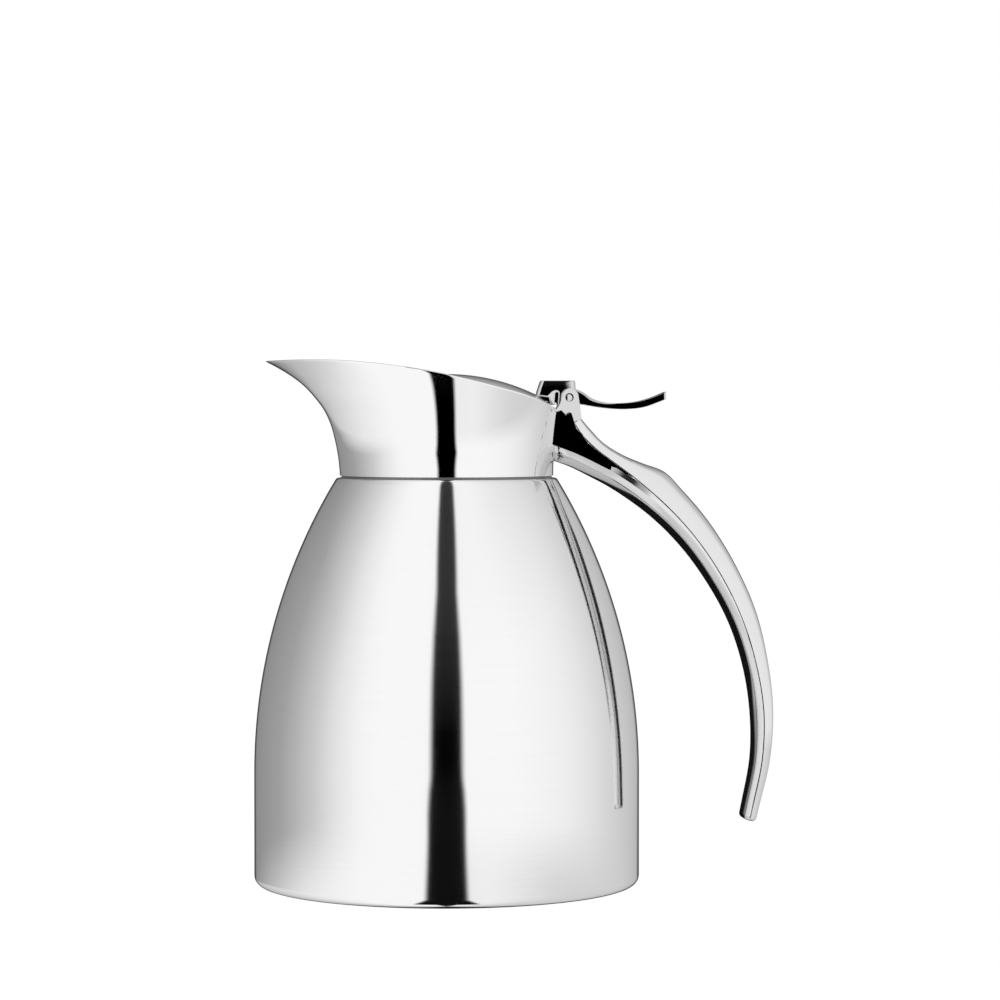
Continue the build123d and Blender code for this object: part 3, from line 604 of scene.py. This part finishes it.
def collar_mesh(size):
    """Points and faces of the collar, with its columns crowded towards the spout."""
    reach_at = smooth_curve(SPOUT_REACH, 16)
    rim_at = smooth_curve(RIM_LINE, 16)
    rings = []
    for step in range(COLLAR_STEPS):
        turn = 2 * pi * step / COLLAR_STEPS
        turn -= SPOUT_CROWDING * sin(2 * turn) * (1 - cos(turn)) / 2
        column = collar_column(turn, size["collar_sheet"], reach_at, rim_at)
        rings.append([(r * cos(turn), r * sin(turn), SEAM_Z + h) for r, h in column])
    return skin(rings + [rings[0]], closed_ends=False)


def back_profile(depth, side, half_w):
    """Section of the back half, which has no side wall: rounded edge and crowned outer face."""
    a, b = half_w, 0.0
    half = [(half_w - SEAM_CUT, 0.0), (half_w, SEAM_CUT)]
    steps = 8
    for (first, _), (last, share) in zip(BACK_TURNS, BACK_TURNS[1:]):
        for step in range(steps):
            angle = radians(first + (last - first) * (step + 0.5) / steps)
            b += share * depth / steps
            a -= share * depth / steps * tan(angle)
            half.append((a, max(b, SEAM_CUT)))
    corner = a
    for step in range(1, steps + 1):
        across = corner * (1 - step / steps)
        half.append((across, b + (depth - b) * (1 - (across / corner) ** 2)))
    return [(-a, b) for a, b in half] + half[-2::-1]


def grip_profile(depth, side, half_w):
    """Section of the grip half: leaning side wall, rounded flank, crisp corner, crowned inner strip."""
    crown = GRIP_CROWN * depth
    rise = depth - crown
    first, last = radians(GRIP_FLANK[0]), radians(GRIP_FLANK[1])
    radius = rise / (sin(last) - sin(first))
    lean = side * SIDE_LEAN
    half = [(half_w - SEAM_CUT - lean, -side), (half_w - lean, -side + SEAM_CUT)]
    steps = 8
    for step in range(steps + 1):
        turn = first + (last - first) * step / steps
        half.append((half_w - radius * (cos(first) - cos(turn)), radius * (sin(turn) - sin(first))))
    corner = half[-1][0]
    for step in range(1, steps + 1):
        across = corner * (1 - step / steps)
        half.append((across, depth - crown * (across / corner) ** GRIP_POWER))
    return [(-a, b) for a, b in half] + half[-2::-1]


def handle_rings(stations, outward, profile):
    """Rings of one handle half along its seam line, ended by a rounded tip."""
    rows = arc_rows(stations, 9)
    rings = []
    length_left = [0.0]
    for here, after in zip(reversed(rows[1:]), reversed(rows[:-1])):
        length_left.append(length_left[-1] + hypot(here[0] - after[0], here[1] - after[1]))
    length_left.reverse()
    extra = [TIP_ROUND * (1 - sin(radians(angle))) for angle in range(15, 91, 15)]
    path = [(row, 0.0) for row, left in zip(rows, length_left) if left > TIP_ROUND]
    last, before = rows[-1], rows[-4]
    span = hypot(last[0] - before[0], last[1] - before[1])
    for back in extra:
        t = back / span
        row = [a + (b - a) * t for a, b in zip(last, before)]
        path.append((row, TIP_ROUND - sqrt(max(TIP_ROUND ** 2 - (TIP_ROUND - back) ** 2, 0.0))))
    for index, (row, inset) in enumerate(path):
        low = path[max(index - 1, 0)][0]
        high = path[min(index + 1, len(path) - 1)][0]
        along = Vector((high[0] - low[0], high[1] - low[1])).normalized()
        out = Vector((-along.y, along.x)) * outward
        x, z, depth, side, half_w = row
        section = profile(depth - inset, max(side - inset, 0.0), half_w - inset)
        rings.append([(COLLAR_R + x + out.x * b, a, SEAM_Z + z + out.y * b) for a, b in section])
    return rings


def outside_collar(x, y, z):
    """The point, moved out along X until it is just under the collar's outer face."""
    r = collar_round(z - SEAM_Z) - GRIP_SUNK
    return (sqrt(r * r - y * y), y, z) if x * x + y * y < r * r else (x, y, z)


def slanted_plate(outline, inner_y, outer_at):
    """Solid between a plane and an outer face whose distance from the middle plane varies."""
    count = len(outline)
    points = [(x, inner_y, z) for x, z in outline] + [(x, outer_at(x, z), z) for x, z in outline]
    faces = [tuple(range(count)), tuple(range(2 * count - 1, count - 1, -1))]
    for index in range(count):
        after = (index + 1) % count
        faces.append((index, count + index, count + after, after))
    return points, faces


def bevel_piece(piece, width, segments, angle=30.0):
    """Rounds a piece's corners of more than an angle, in its mesh."""
    shape = bmesh.new()
    shape.from_mesh(piece.data)
    bmesh.ops.bevel(
        shape, geom=corner_edges(shape, angle), offset=width * MM, segments=segments, profile=0.5,
        affect="EDGES", clamp_overlap=True,
    )
    shade(shape, True)
    shape.to_mesh(piece.data)
    shape.free()
    modifier = piece.modifiers.new("Even shading", "WEIGHTED_NORMAL")
    modifier.keep_sharp = True


def circle(x, z, radius, count):
    """Points (x, z) round a centre."""
    turns = [2 * pi * k / count for k in range(count)]
    return [(x + radius * cos(turn), z + radius * sin(turn)) for turn in turns]


def drill(piece, x, z, radius):
    """Drills a round hole along Y through a piece's mesh."""
    reach = 7.0
    round_points = circle(x, z, radius, 40)
    points, faces = skin([[(a, y, b) for a, b in round_points] for y in (-reach, reach)])
    tool = new_object("drill", points, faces)
    tidy_mesh(tool.data, False)
    cut = piece.modifiers.new("Drill", "BOOLEAN")
    cut.operation = "DIFFERENCE"
    cut.solver = "EXACT"
    cut.object = tool
    bpy.context.view_layer.update()
    seen = piece.evaluated_get(bpy.context.evaluated_depsgraph_get())
    drilled = bpy.data.meshes.new_from_object(seen)
    piece.modifiers.clear()
    piece.data = drilled
    bpy.data.objects.remove(tool)


def mirrored(points, faces):
    """A solid and its mirror image across the middle plane."""
    count = len(points)
    both = points + [(x, -y, z) for x, y, z in points]
    return both, faces + [tuple(count + index for index in reversed(face)) for face in faces]


def add_node(tree, kind, inputs=(), **settings):
    """New shader node with its settings, and each input given by a value or by the socket that feeds it."""
    node = tree.nodes.new(kind)
    for key, value in settings.items():
        setattr(node, key, value)
    for key, value in dict(inputs).items():
        if isinstance(value, bpy.types.NodeSocket):
            tree.links.new(value, node.inputs[key])
        else:
            node.inputs[key].default_value = value
    return node


def maths(tree, operation, *values):
    """Output of a math node on values or sockets."""
    return add_node(tree, "ShaderNodeMath", enumerate(values), operation=operation).outputs[0]


def blend(tree, share, first, second):
    """Output of a mix of two shaders."""
    return add_node(tree, "ShaderNodeMixShader", {0: share, 1: first, 2: second}).outputs[0]


def new_material(name):
    """Empty node material."""
    material = bpy.data.materials.new(name)
    material.use_nodes = True
    material.node_tree.nodes.clear()
    return material


def fine_marks_group():
    """Node group for polishing marks: faint roughness change, tone change and a bump."""
    if "Polishing marks" in bpy.data.node_groups:
        return bpy.data.node_groups["Polishing marks"]
    group = bpy.data.node_groups.new("Polishing marks", "ShaderNodeTree")
    face = group.interface
    for name in MARK_VALUES:
        face.new_socket(name, in_out="INPUT", socket_type="NodeSocketFloat")
    face.new_socket("Colour", in_out="INPUT", socket_type="NodeSocketColor")
    face.new_socket("Colour", in_out="OUTPUT", socket_type="NodeSocketColor")
    face.new_socket("Roughness", in_out="OUTPUT", socket_type="NodeSocketFloat")
    face.new_socket("Normal", in_out="OUTPUT", socket_type="NodeSocketVector")
    ins = add_node(group, "NodeGroupInput").outputs
    place = add_node(group, "ShaderNodeTexCoord").outputs["Object"]
    split = add_node(group, "ShaderNodeSeparateXYZ", {0: place}).outputs
    height = maths(group, "MULTIPLY", split["Z"], ins["Stretch"])
    stretched = add_node(group, "ShaderNodeCombineXYZ", {"X": split["X"], "Y": split["Y"], "Z": height})
    noise = add_node(group, "ShaderNodeTexNoise", {
        "Vector": stretched.outputs[0], "Scale": ins["Scale"], "Detail": 5.0,
    }).outputs[0]
    cloud = add_node(group, "ShaderNodeTexNoise", {"Vector": place, "Scale": 18.0, "Detail": 3.0}).outputs[0]
    centred = maths(group, "SUBTRACT", noise, 0.5)
    cloudy = maths(group, "SUBTRACT", cloud, 0.5)
    both = maths(group, "ADD", centred, cloudy)
    amount = maths(group, "MULTIPLY_ADD", both, ins["Variation"], 1.0)
    rough = maths(group, "MULTIPLY", amount, ins["Roughness"])
    tone = maths(group, "MULTIPLY_ADD", centred, ins["Tone"], 1.0)
    tint = add_node(group, "ShaderNodeVectorMath", {0: ins["Colour"], "Scale": tone}, operation="SCALE")
    bump = add_node(group, "ShaderNodeBump", {"Height": noise, "Strength": ins["Depth"], "Distance": 0.00002})
    add_node(group, "NodeGroupOutput", {
        "Colour": tint.outputs[0], "Roughness": rough, "Normal": bump.outputs[0],
    })
    return group


def finish(name):
    """Material of a finish, made once."""
    if name in bpy.data.materials:
        return bpy.data.materials[name]
    settings = bpy.context.scene.jug_finish
    colour, *values = [getattr(settings, item) if isinstance(item, str) else item for item in FINISHES[name]]
    material = new_material(name)
    tree = material.node_tree
    inputs = {"Colour": (*colour, 1), **dict(zip(MARK_VALUES, values))}
    marks = add_node(tree, "ShaderNodeGroup", inputs, node_tree=fine_marks_group()).outputs
    shader = add_node(tree, "ShaderNodeBsdfPrincipled", {
        "Metallic": 0.0 if name in GRAINED else 1.0, "Subsurface Weight": GRAINED.get(name, 0.0),
        "Base Color": marks["Colour"], "Roughness": marks["Roughness"], "Normal": marks["Normal"],
    })
    add_node(tree, "ShaderNodeOutputMaterial", {"Surface": shader.outputs[0]})
    return material


class JUG_OT_body(bpy.types.Operator):
    """Build the body from its turned section"""
    bl_idname = "jug.body"
    bl_label = "Build body"

    def execute(self, context):
        lathe("body", body_section(sizes()), finish("Body sheet"), "jug", ["outer_shell"], "polished_steel")
        return {"FINISHED"}


class JUG_OT_collar(bpy.types.Operator):
    """Build the pouring collar with its spout and rounded lip, and a dark ring of painted shade in the groove
    under it
    """
    bl_idname = "jug.collar"
    bl_label = "Build collar"

    def execute(self, context):
        collar = collar_mesh(sizes())
        add_piece("collar", *collar, finish("Bright sheet"), "jug", ["spout_collar"], "polished_steel")
        # Dark ring in the groove under the collar: painted shade of the hollow, drawn as dark metal
        out = COLLAR_R - SEAM_SHADE_RING_DEPTH
        low = SEAM_Z + SEAM_SHADE_RING_PLAY
        high = SEAM_Z + SEAM_GAP - SEAM_SHADE_RING_PLAY
        section = [(out - SEAM_SHADE_RING_T, low), (out, low), (out, high), (out - SEAM_SHADE_RING_T, high)]
        lathe("collar_seam_shade", section, finish("Seam"), "jug", ["spout_collar"], "polished_steel")
        return {"FINISHED"}


class JUG_OT_handle(bpy.types.Operator):
    """Build the two pressed halves of the handle"""
    bl_idname = "jug.handle"
    bl_label = "Build handle"

    def execute(self, context):
        back = skin(handle_rings(BACK_STATIONS, 1, back_profile))
        add_piece("handle_outer", *back, finish("Bright handle"), "jug", ["handle_back"], "polished_steel")
        rings = handle_rings(GRIP_STATIONS, -1, grip_profile)
        grip = skin([[outside_collar(*point) for point in ring] for ring in rings])
        add_piece("handle_inner", *grip, finish("Bright handle"), "jug", ["handle_grip"], "polished_steel")
        return {"FINISHED"}


class JUG_OT_hinge(bpy.types.Operator):
    """Build the bracket's flanks, its ears and the pin"""
    bl_idname = "jug.hinge"
    bl_label = "Build hinge"

    def execute(self, context):
        x, z, radius = EAR_HEAD
        head = circle(x, z, radius, 28)[:15]
        ear = FLANK_HIGH[-2:] + TOOTH_LINE + FLANK_LEFT[:1] + EAR_LEFT[::-1] + head[::-1] + EAR_RIGHT[::-1]
        lean = tan(radians(EAR_LEAN))
        half = slanted_plate(ear, EAR_INNER_Y, lambda x, z: EAR_OUTER_Y - lean * (x - EAR_FRONT_X))
        ears = add_casting("hinge_ears", *mirrored(*half), "jug", [])
        bevel_piece(ears, width=0.3, segments=4)
        hole_x, hole_z, hole_r = PIN_HOLE
        drill(ears, PIN_X + hole_x, PIN_Z + hole_z, hole_r)
        flank = FLANK_LOW + FLANK_END + FLANK_HIGH + TOOTH_LINE + FLANK_LEFT
        plate = self.bracket("hinge_bracket_flanks", flank, FLANK_Y)
        bevel_piece(plate, width=0.06, segments=2)
        saddle = self.bracket("hinge_saddle", SADDLE, SADDLE_Y)
        bevel_piece(saddle, width=0.2, segments=3)
        self.pin()
        return {"FINISHED"}

    def bracket(self, name, outline, half_y):
        """Flat piece of the bracket, as far out on one side as on the other."""
        plate = slanted_plate(outline, -half_y, lambda x, z: half_y)
        return add_casting(name, *plate, "jug", ["hinge_bracket"])

    def pin(self):
        """Pin along Y, with its ends flush with the leaning ears."""
        lean = tan(radians(EAR_LEAN))
        rings = []
        for side, end in ((1, PIN_END), (-1, PIN_END[::-1])):
            for r, y in end:
                ring = circle(0.0, PIN_Z, r, 32)
                rings.append([(PIN_X + x, side * (y - lean * x), z) for x, z in ring])
        add_piece("pin", *skin(rings), finish("Bright casting"), "jug", ["hinge_pin"], "plain_steel")


def block_rings():
    """Rings of the block on the lid, from its foot to its rounded top."""
    rings = []
    for z, front, back, inset in BLOCK_LEVELS:
        half = LEVER_HALF_W - inset
        corners = [
            (front + inset, -half, BLOCK_FRONT_ROUND), (back - inset, -half, BLOCK_BACK_ROUND),
            (back - inset, half, BLOCK_BACK_ROUND), (front + inset, half, BLOCK_FRONT_ROUND),
        ]
        rings.append([(PIN_X + x, y, PIN_Z + z) for x, y in rounded_line(corners)])
    return rings


def lever_rings():
    """Rings of the thumb lever, a little wider at its tip than between the ears."""
    rings = []
    steps = 48
    tip = LEVER_TOP[-1][0]
    top_at = smooth_curve(LEVER_TOP, 12)
    low_at = smooth_curve(LEVER_BOTTOM, 12)
    for step in range(steps + 1):
        x = LEVER_START + (tip - LEVER_START) * step / steps
        top = top_at(x)
        low = low_at(x)
        wide = LEVER_HALF_W + max(x - LEVER_WIDENS_AT, 0.0) / LEVER_WIDENS_BY
        inside = min(max(x - tip + TIP_CORNER, 0.0), TIP_CORNER)
        wide -= TIP_CORNER * (1 - sqrt(1 - min(inside / TIP_CORNER, 1.0) ** 2))
        bevel = max(BEVEL_LEAST, BEVEL_MOST - BEVEL_FALL * abs(x - BEVEL_MOST_AT))
        bevel = min(bevel, (top - low) * BEVEL_SHARE)
        least = BEVEL_LEAST
        side = [(-wide + bevel, top), (-wide, top - bevel), (-wide, low + least), (-wide + least, low)]
        ring = side + [(-y, z) for y, z in reversed(side)]
        rings.append([(PIN_X + x, y, PIN_Z + z) for y, z in ring])
    return rings


class JUG_OT_lid(bpy.types.Operator):
    """Build the domed cover, the strap over the rim, and the block with its thumb lever"""
    bl_idname = "jug.lid"
    bl_label = "Build lid"

    def execute(self, context):
        section = self.cover_section(sizes())
        metal = finish("Bright sheet")
        lathe("lid_cover", section, metal, "lid", ["lid_dome"], "polished_steel", closed=False)
        add_casting("lid_block", *skin(block_rings()), "lid", ["thumb_lever"])
        add_casting("lid_lever", *skin(lever_rings()), "lid", ["thumb_lever"])
        self.barrel()
        self.strap()
        return {"FINISHED"}

    def cover_section(self, size):
        """Section of the domed cover: top, rounded rim and underside."""
        crown, radius = size["lid_crown"], size["lid_radius"]
        centre = DOME_HIGH.z - crown
        steps = 40
        top = []
        under = []
        for step in range(steps + 1):
            r = (radius - LID_ARC_INSET) * step / steps
            top.append((r, centre + sqrt(crown ** 2 - r ** 2)))
            inner = (radius - LID_SHEET) * step / steps
            under.append((inner, centre + sqrt((crown - LID_SHEET) ** 2 - inner ** 2)))
        edge = centre + sqrt(crown ** 2 - radius ** 2)
        foot = edge - LID_RIM_H
        corner = rounded_line([
            top[-2] + (0,), (radius, edge + LID_EDGE_RISE, LID_EDGE_ROUND), (radius, foot, LID_FOOT_ROUND),
            (radius - LID_SHEET, foot, LID_FOOT_ROUND), under[-1] + (0,),
        ], closed=False)
        return top[:-1] + corner[1:] + under[-2::-1]

    def barrel(self):
        """Barrel of the lever, between the ears."""
        half = LEVER_HALF_W
        section = rounded_line([
            (BARREL_BORE_R, -half, 0), (BARREL_R, -half, BARREL_ROUND),
            (BARREL_R, half, BARREL_ROUND), (BARREL_BORE_R, half, 0),
        ])
        rings = []
        for turn in (2 * pi * k / 48 for k in range(48)):
            rings.append([(PIN_X + r * cos(turn), y, PIN_Z + r * sin(turn)) for r, y in section])
        add_casting("lid_barrel", *skin(rings + [rings[0]], closed_ends=False), "lid", ["thumb_lever"])

    def strap(self):
        """Arch over the collar's rim, with its arm under the block."""
        outline = [(PIN_X + x, PIN_Z + z) for x, z in STRAP_OUTER + STRAP_INNER]
        rear = PIN_X + STRAP_REAR_X
        lean = tan(radians(STRAP_LEAN))
        half = slanted_plate(outline, 0.0, lambda x, z: STRAP_OUTER_Y - lean * (rear - x))
        strap = add_casting("lid_strap", *mirrored(*half), "lid", ["hinge_strap"])
        bevel_piece(strap, width=0.12, segments=3, angle=35.0)


class JUG_OT_inside(bpy.types.Operator):
    """Finish the pieces that stay as packed: vessel, ring, pan, gasket, underside and filling"""
    bl_idname = "jug.inside"
    bl_label = "Finish inner pieces"

    def execute(self, context):
        for name, nodes in GIVEN.items():
            for node in nodes:
                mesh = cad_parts[node].data
                mesh.materials.clear()
                mesh.materials.append(finish(name))
        return {"FINISHED"}


class JUG_OT_studio(bpy.types.Operator):
    """Build the light tent, the floor and the camera"""
    bl_idname = "jug.studio"
    bl_label = "Build studio"

    def execute(self, context):
        self.tent(context)
        self.floor()
        for name, measures in CARDS.items():
            self.card(name, *measures)
        self.camera(context)
        return {"FINISHED"}

    def tent(self, context):
        """White walls to the left and right, a narrow dark gap in front, white for the camera."""
        studio = context.scene.jug_studio
        world = bpy.data.worlds.new("Light tent")
        context.scene.world = world
        world.use_nodes = True
        tree = world.node_tree
        tree.nodes.clear()
        place = add_node(tree, "ShaderNodeTexCoord").outputs["Generated"]
        group = self.walls_group(studio.wall_level)
        walls = add_node(tree, "ShaderNodeGroup", {"Direction": place}, node_tree=group)
        tent = add_node(tree, "ShaderNodeBackground", {"Color": walls.outputs["Level"]})
        white = add_node(tree, "ShaderNodeBackground", {"Color": (1, 1, 1, 1)})
        seen = add_node(tree, "ShaderNodeLightPath").outputs["Is Camera Ray"]
        surface = blend(tree, seen, tent.outputs[0], white.outputs[0])
        add_node(tree, "ShaderNodeOutputWorld", {"Surface": surface})

    def walls_group(self, wall_level):
        """Node group: the tent's level in a direction, with a gap whose width follows the height."""
        group = bpy.data.node_groups.new("Tent walls", "ShaderNodeTree")
        group.interface.new_socket("Direction", in_out="INPUT", socket_type="NodeSocketVector")
        group.interface.new_socket("Level", in_out="OUTPUT", socket_type="NodeSocketFloat")
        direction = add_node(group, "NodeGroupInput").outputs["Direction"]
        split = add_node(group, "ShaderNodeSeparateXYZ", {0: direction}).outputs
        front = maths(group, "MULTIPLY", split["Y"], -1.0)
        angle = maths(group, "ARCTAN2", split["X"], front)
        round_share = maths(group, "MULTIPLY_ADD", angle, 1 / (2 * pi), 0.5)
        rise_share = maths(group, "MULTIPLY_ADD", split["Z"], 0.5, 0.5)

        def by_turn(table):
            stops = [((angle + 180) / 360, value) for angle, value in table]
            return self.curve(group, round_share, stops)

        def by_rise(table, unit=1.0):
            stops = [((sin(radians(angle)) + 1) / 2, value / unit) for angle, value in table]
            return self.curve(group, rise_share, stops)

        main = by_turn(TENT_MAIN)
        low = by_turn(TENT_LOW)
        step = maths(group, "SUBTRACT", main, low)
        level = maths(group, "MULTIPLY_ADD", step, by_rise(TENT_BLEND), low)
        behind = maths(group, "MULTIPLY", by_turn(TENT_BACK), by_rise(BACK_RISE))
        level = maths(group, "MAXIMUM", level, behind)
        width = maths(group, "MULTIPLY", by_rise(GAP_WIDTHS, GAP_WIDTH_UNIT), radians(GAP_WIDTH_UNIT))
        beside = maths(group, "SUBTRACT", maths(group, "ABSOLUTE", angle), width)
        soft = radians(GAP_SOFT)
        edge = add_node(group, "ShaderNodeMapRange", {"Value": beside, "From Min": -soft, "From Max": soft})
        level = maths(group, "MULTIPLY", level, edge.outputs[0])
        glow = add_node(group, "ShaderNodeMapRange", {
            "Value": split["Z"], "From Min": 0.1, "From Max": 0.6, "To Max": 0.03,
        })
        level = maths(group, "MAXIMUM", level, glow.outputs[0])
        level = maths(group, "MULTIPLY", level, wall_level)
        add_node(group, "NodeGroupOutput", {"Level": level})
        return group

    def curve(self, tree, share, stops):
        """Float curve through (place, level) stops."""
        node = add_node(tree, "ShaderNodeFloatCurve", {"Value": share})
        curve = node.mapping.curves[0]
        while len(curve.points) < len(stops):
            curve.points.new(0.5, 0.5)
        for point, (place, level) in zip(curve.points, stops):
            point.location = (place, level)
            point.handle_type = "VECTOR"
        node.mapping.update()
        return node.outputs[0]

    def floor(self):
        """White floor that keeps a faint shadow, clear to reflections and from below."""
        far = FLOOR_REACH
        corners = [(-far, -far, 0), (far, -far, 0), (far, far, 0), (-far, far, 0)]
        floor = new_object("floor", corners, [(0, 1, 2, 3)], 1.0)
        material = new_material("Tent floor")
        tree = material.node_tree
        matt = add_node(tree, "ShaderNodeBsdfDiffuse", {"Color": (0.85, 0.85, 0.85, 1)})
        glow = add_node(tree, "ShaderNodeEmission", {"Color": (1, 1, 1, 1), "Strength": 1.07})
        path = add_node(tree, "ShaderNodeLightPath").outputs
        side = add_node(tree, "ShaderNodeNewGeometry").outputs
        share = maths(tree, "MULTIPLY", path["Is Camera Ray"], 0.9)
        white = blend(tree, share, matt.outputs[0], glow.outputs[0])
        clear = add_node(tree, "ShaderNodeBsdfTransparent")
        is_clear = maths(tree, "MAXIMUM", path["Is Glossy Ray"], side["Backfacing"])
        surface = blend(tree, is_clear, white, clear.outputs[0])
        add_node(tree, "ShaderNodeOutputMaterial", {"Surface": surface})
        floor.data.materials.append(material)

    def card(self, name, y, half_w, growth, bottom, top):
        """Dark card with soft edges, which only reflections show."""
        low_w = half_w - growth * bottom
        corners = [(-low_w, y, bottom), (low_w, y, bottom), (half_w, y, top), (-half_w, y, top)]
        card = new_object(name, corners, [(0, 1, 2, 3)], 1.0)
        material = new_material("Dark card")
        tree = material.node_tree
        place = add_node(tree, "ShaderNodeTexCoord").outputs["Object"]
        split = add_node(tree, "ShaderNodeSeparateXYZ", {0: place}).outputs
        across = maths(tree, "MULTIPLY_ADD", split["Z"], growth, maths(tree, "ABSOLUTE", split["X"]))
        fades = []
        for value, end, soft in ((across, half_w, CARD_SIDE_SOFT), (split["Z"], top, CARD_TOP_SOFT)):
            fades.append(add_node(tree, "ShaderNodeMapRange", {
                "Value": value, "From Min": end - soft, "From Max": end, "To Min": 1.0, "To Max": 0.0,
            }, interpolation_type="SMOOTHSTEP").outputs[0])
        cover = maths(tree, "MULTIPLY", *fades)
        matt = add_node(tree, "ShaderNodeBsdfDiffuse", {"Color": (0.012, 0.012, 0.012, 1)})
        clear = add_node(tree, "ShaderNodeBsdfTransparent")
        surface = blend(tree, cover, clear.outputs[0], matt.outputs[0])
        add_node(tree, "ShaderNodeOutputMaterial", {"Surface": surface})
        card.data.materials.append(material)
        card.visible_camera = False
        card.visible_shadow = False
        card.visible_diffuse = False

    def camera(self, context):
        """Camera at the photograph's place."""
        lens = bpy.data.cameras.new("camera")
        lens.sensor_width = CAMERA_SENSOR
        lens.lens = CAMERA_LENS
        camera = bpy.data.objects.new("camera", lens)
        context.scene.collection.objects.link(camera)
        camera.location = (0.0, -context.scene.jug_studio.lens_distance, CAMERA_HEIGHT)
        aim = Vector(CAMERA_AIM) - camera.location
        camera.rotation_mode = "QUATERNION"
        camera.rotation_quaternion = aim.to_track_quat("-Z", "Y")
        context.scene.camera = camera
        context.scene.view_settings.view_transform = "Standard"


class JUG_PT_panel(bpy.types.Panel):
    """Settings and steps of the jug in the 3D view's sidebar"""
    bl_label = "Steel Jug"
    bl_idname = "JUG_PT_panel"
    bl_space_type = "VIEW_3D"
    bl_region_type = "UI"
    bl_category = "Jug"

    def draw(self, context):
        """Draw the settings and a button for each step."""
        layout = self.layout
        for group in (context.scene.jug_sizes, context.scene.jug_finish, context.scene.jug_studio):
            column = layout.column()
            for key in type(group).__annotations__:
                column.prop(group, key)
        for step in STEPS:
            layout.operator(step.bl_idname)


STEPS = (JUG_OT_body, JUG_OT_collar, JUG_OT_handle, JUG_OT_hinge, JUG_OT_lid, JUG_OT_inside, JUG_OT_studio)
CLASSES = (JugSizes, JugFinish, JugStudio) + STEPS + (JUG_PT_panel,)


def register():
    """Register the classes and hang the settings on the scene."""
    for item in CLASSES:
        bpy.utils.register_class(item)
    bpy.types.Scene.jug_sizes = bpy.props.PointerProperty(type=JugSizes)
    bpy.types.Scene.jug_finish = bpy.props.PointerProperty(type=JugFinish)
    bpy.types.Scene.jug_studio = bpy.props.PointerProperty(type=JugStudio)


def unregister():
    """Take the settings and the classes away again."""
    del bpy.types.Scene.jug_studio
    del bpy.types.Scene.jug_finish
    del bpy.types.Scene.jug_sizes
    for item in reversed(CLASSES):
        bpy.utils.unregister_class(item)


def main():
    """Build the jug and its studio."""
    register()
    bpy.ops.jug.body()
    bpy.ops.jug.collar()
    bpy.ops.jug.handle()
    bpy.ops.jug.hinge()
    bpy.ops.jug.lid()
    bpy.ops.jug.inside()
    bpy.ops.jug.studio()
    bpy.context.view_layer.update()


if __name__ == "__main__":
    main()
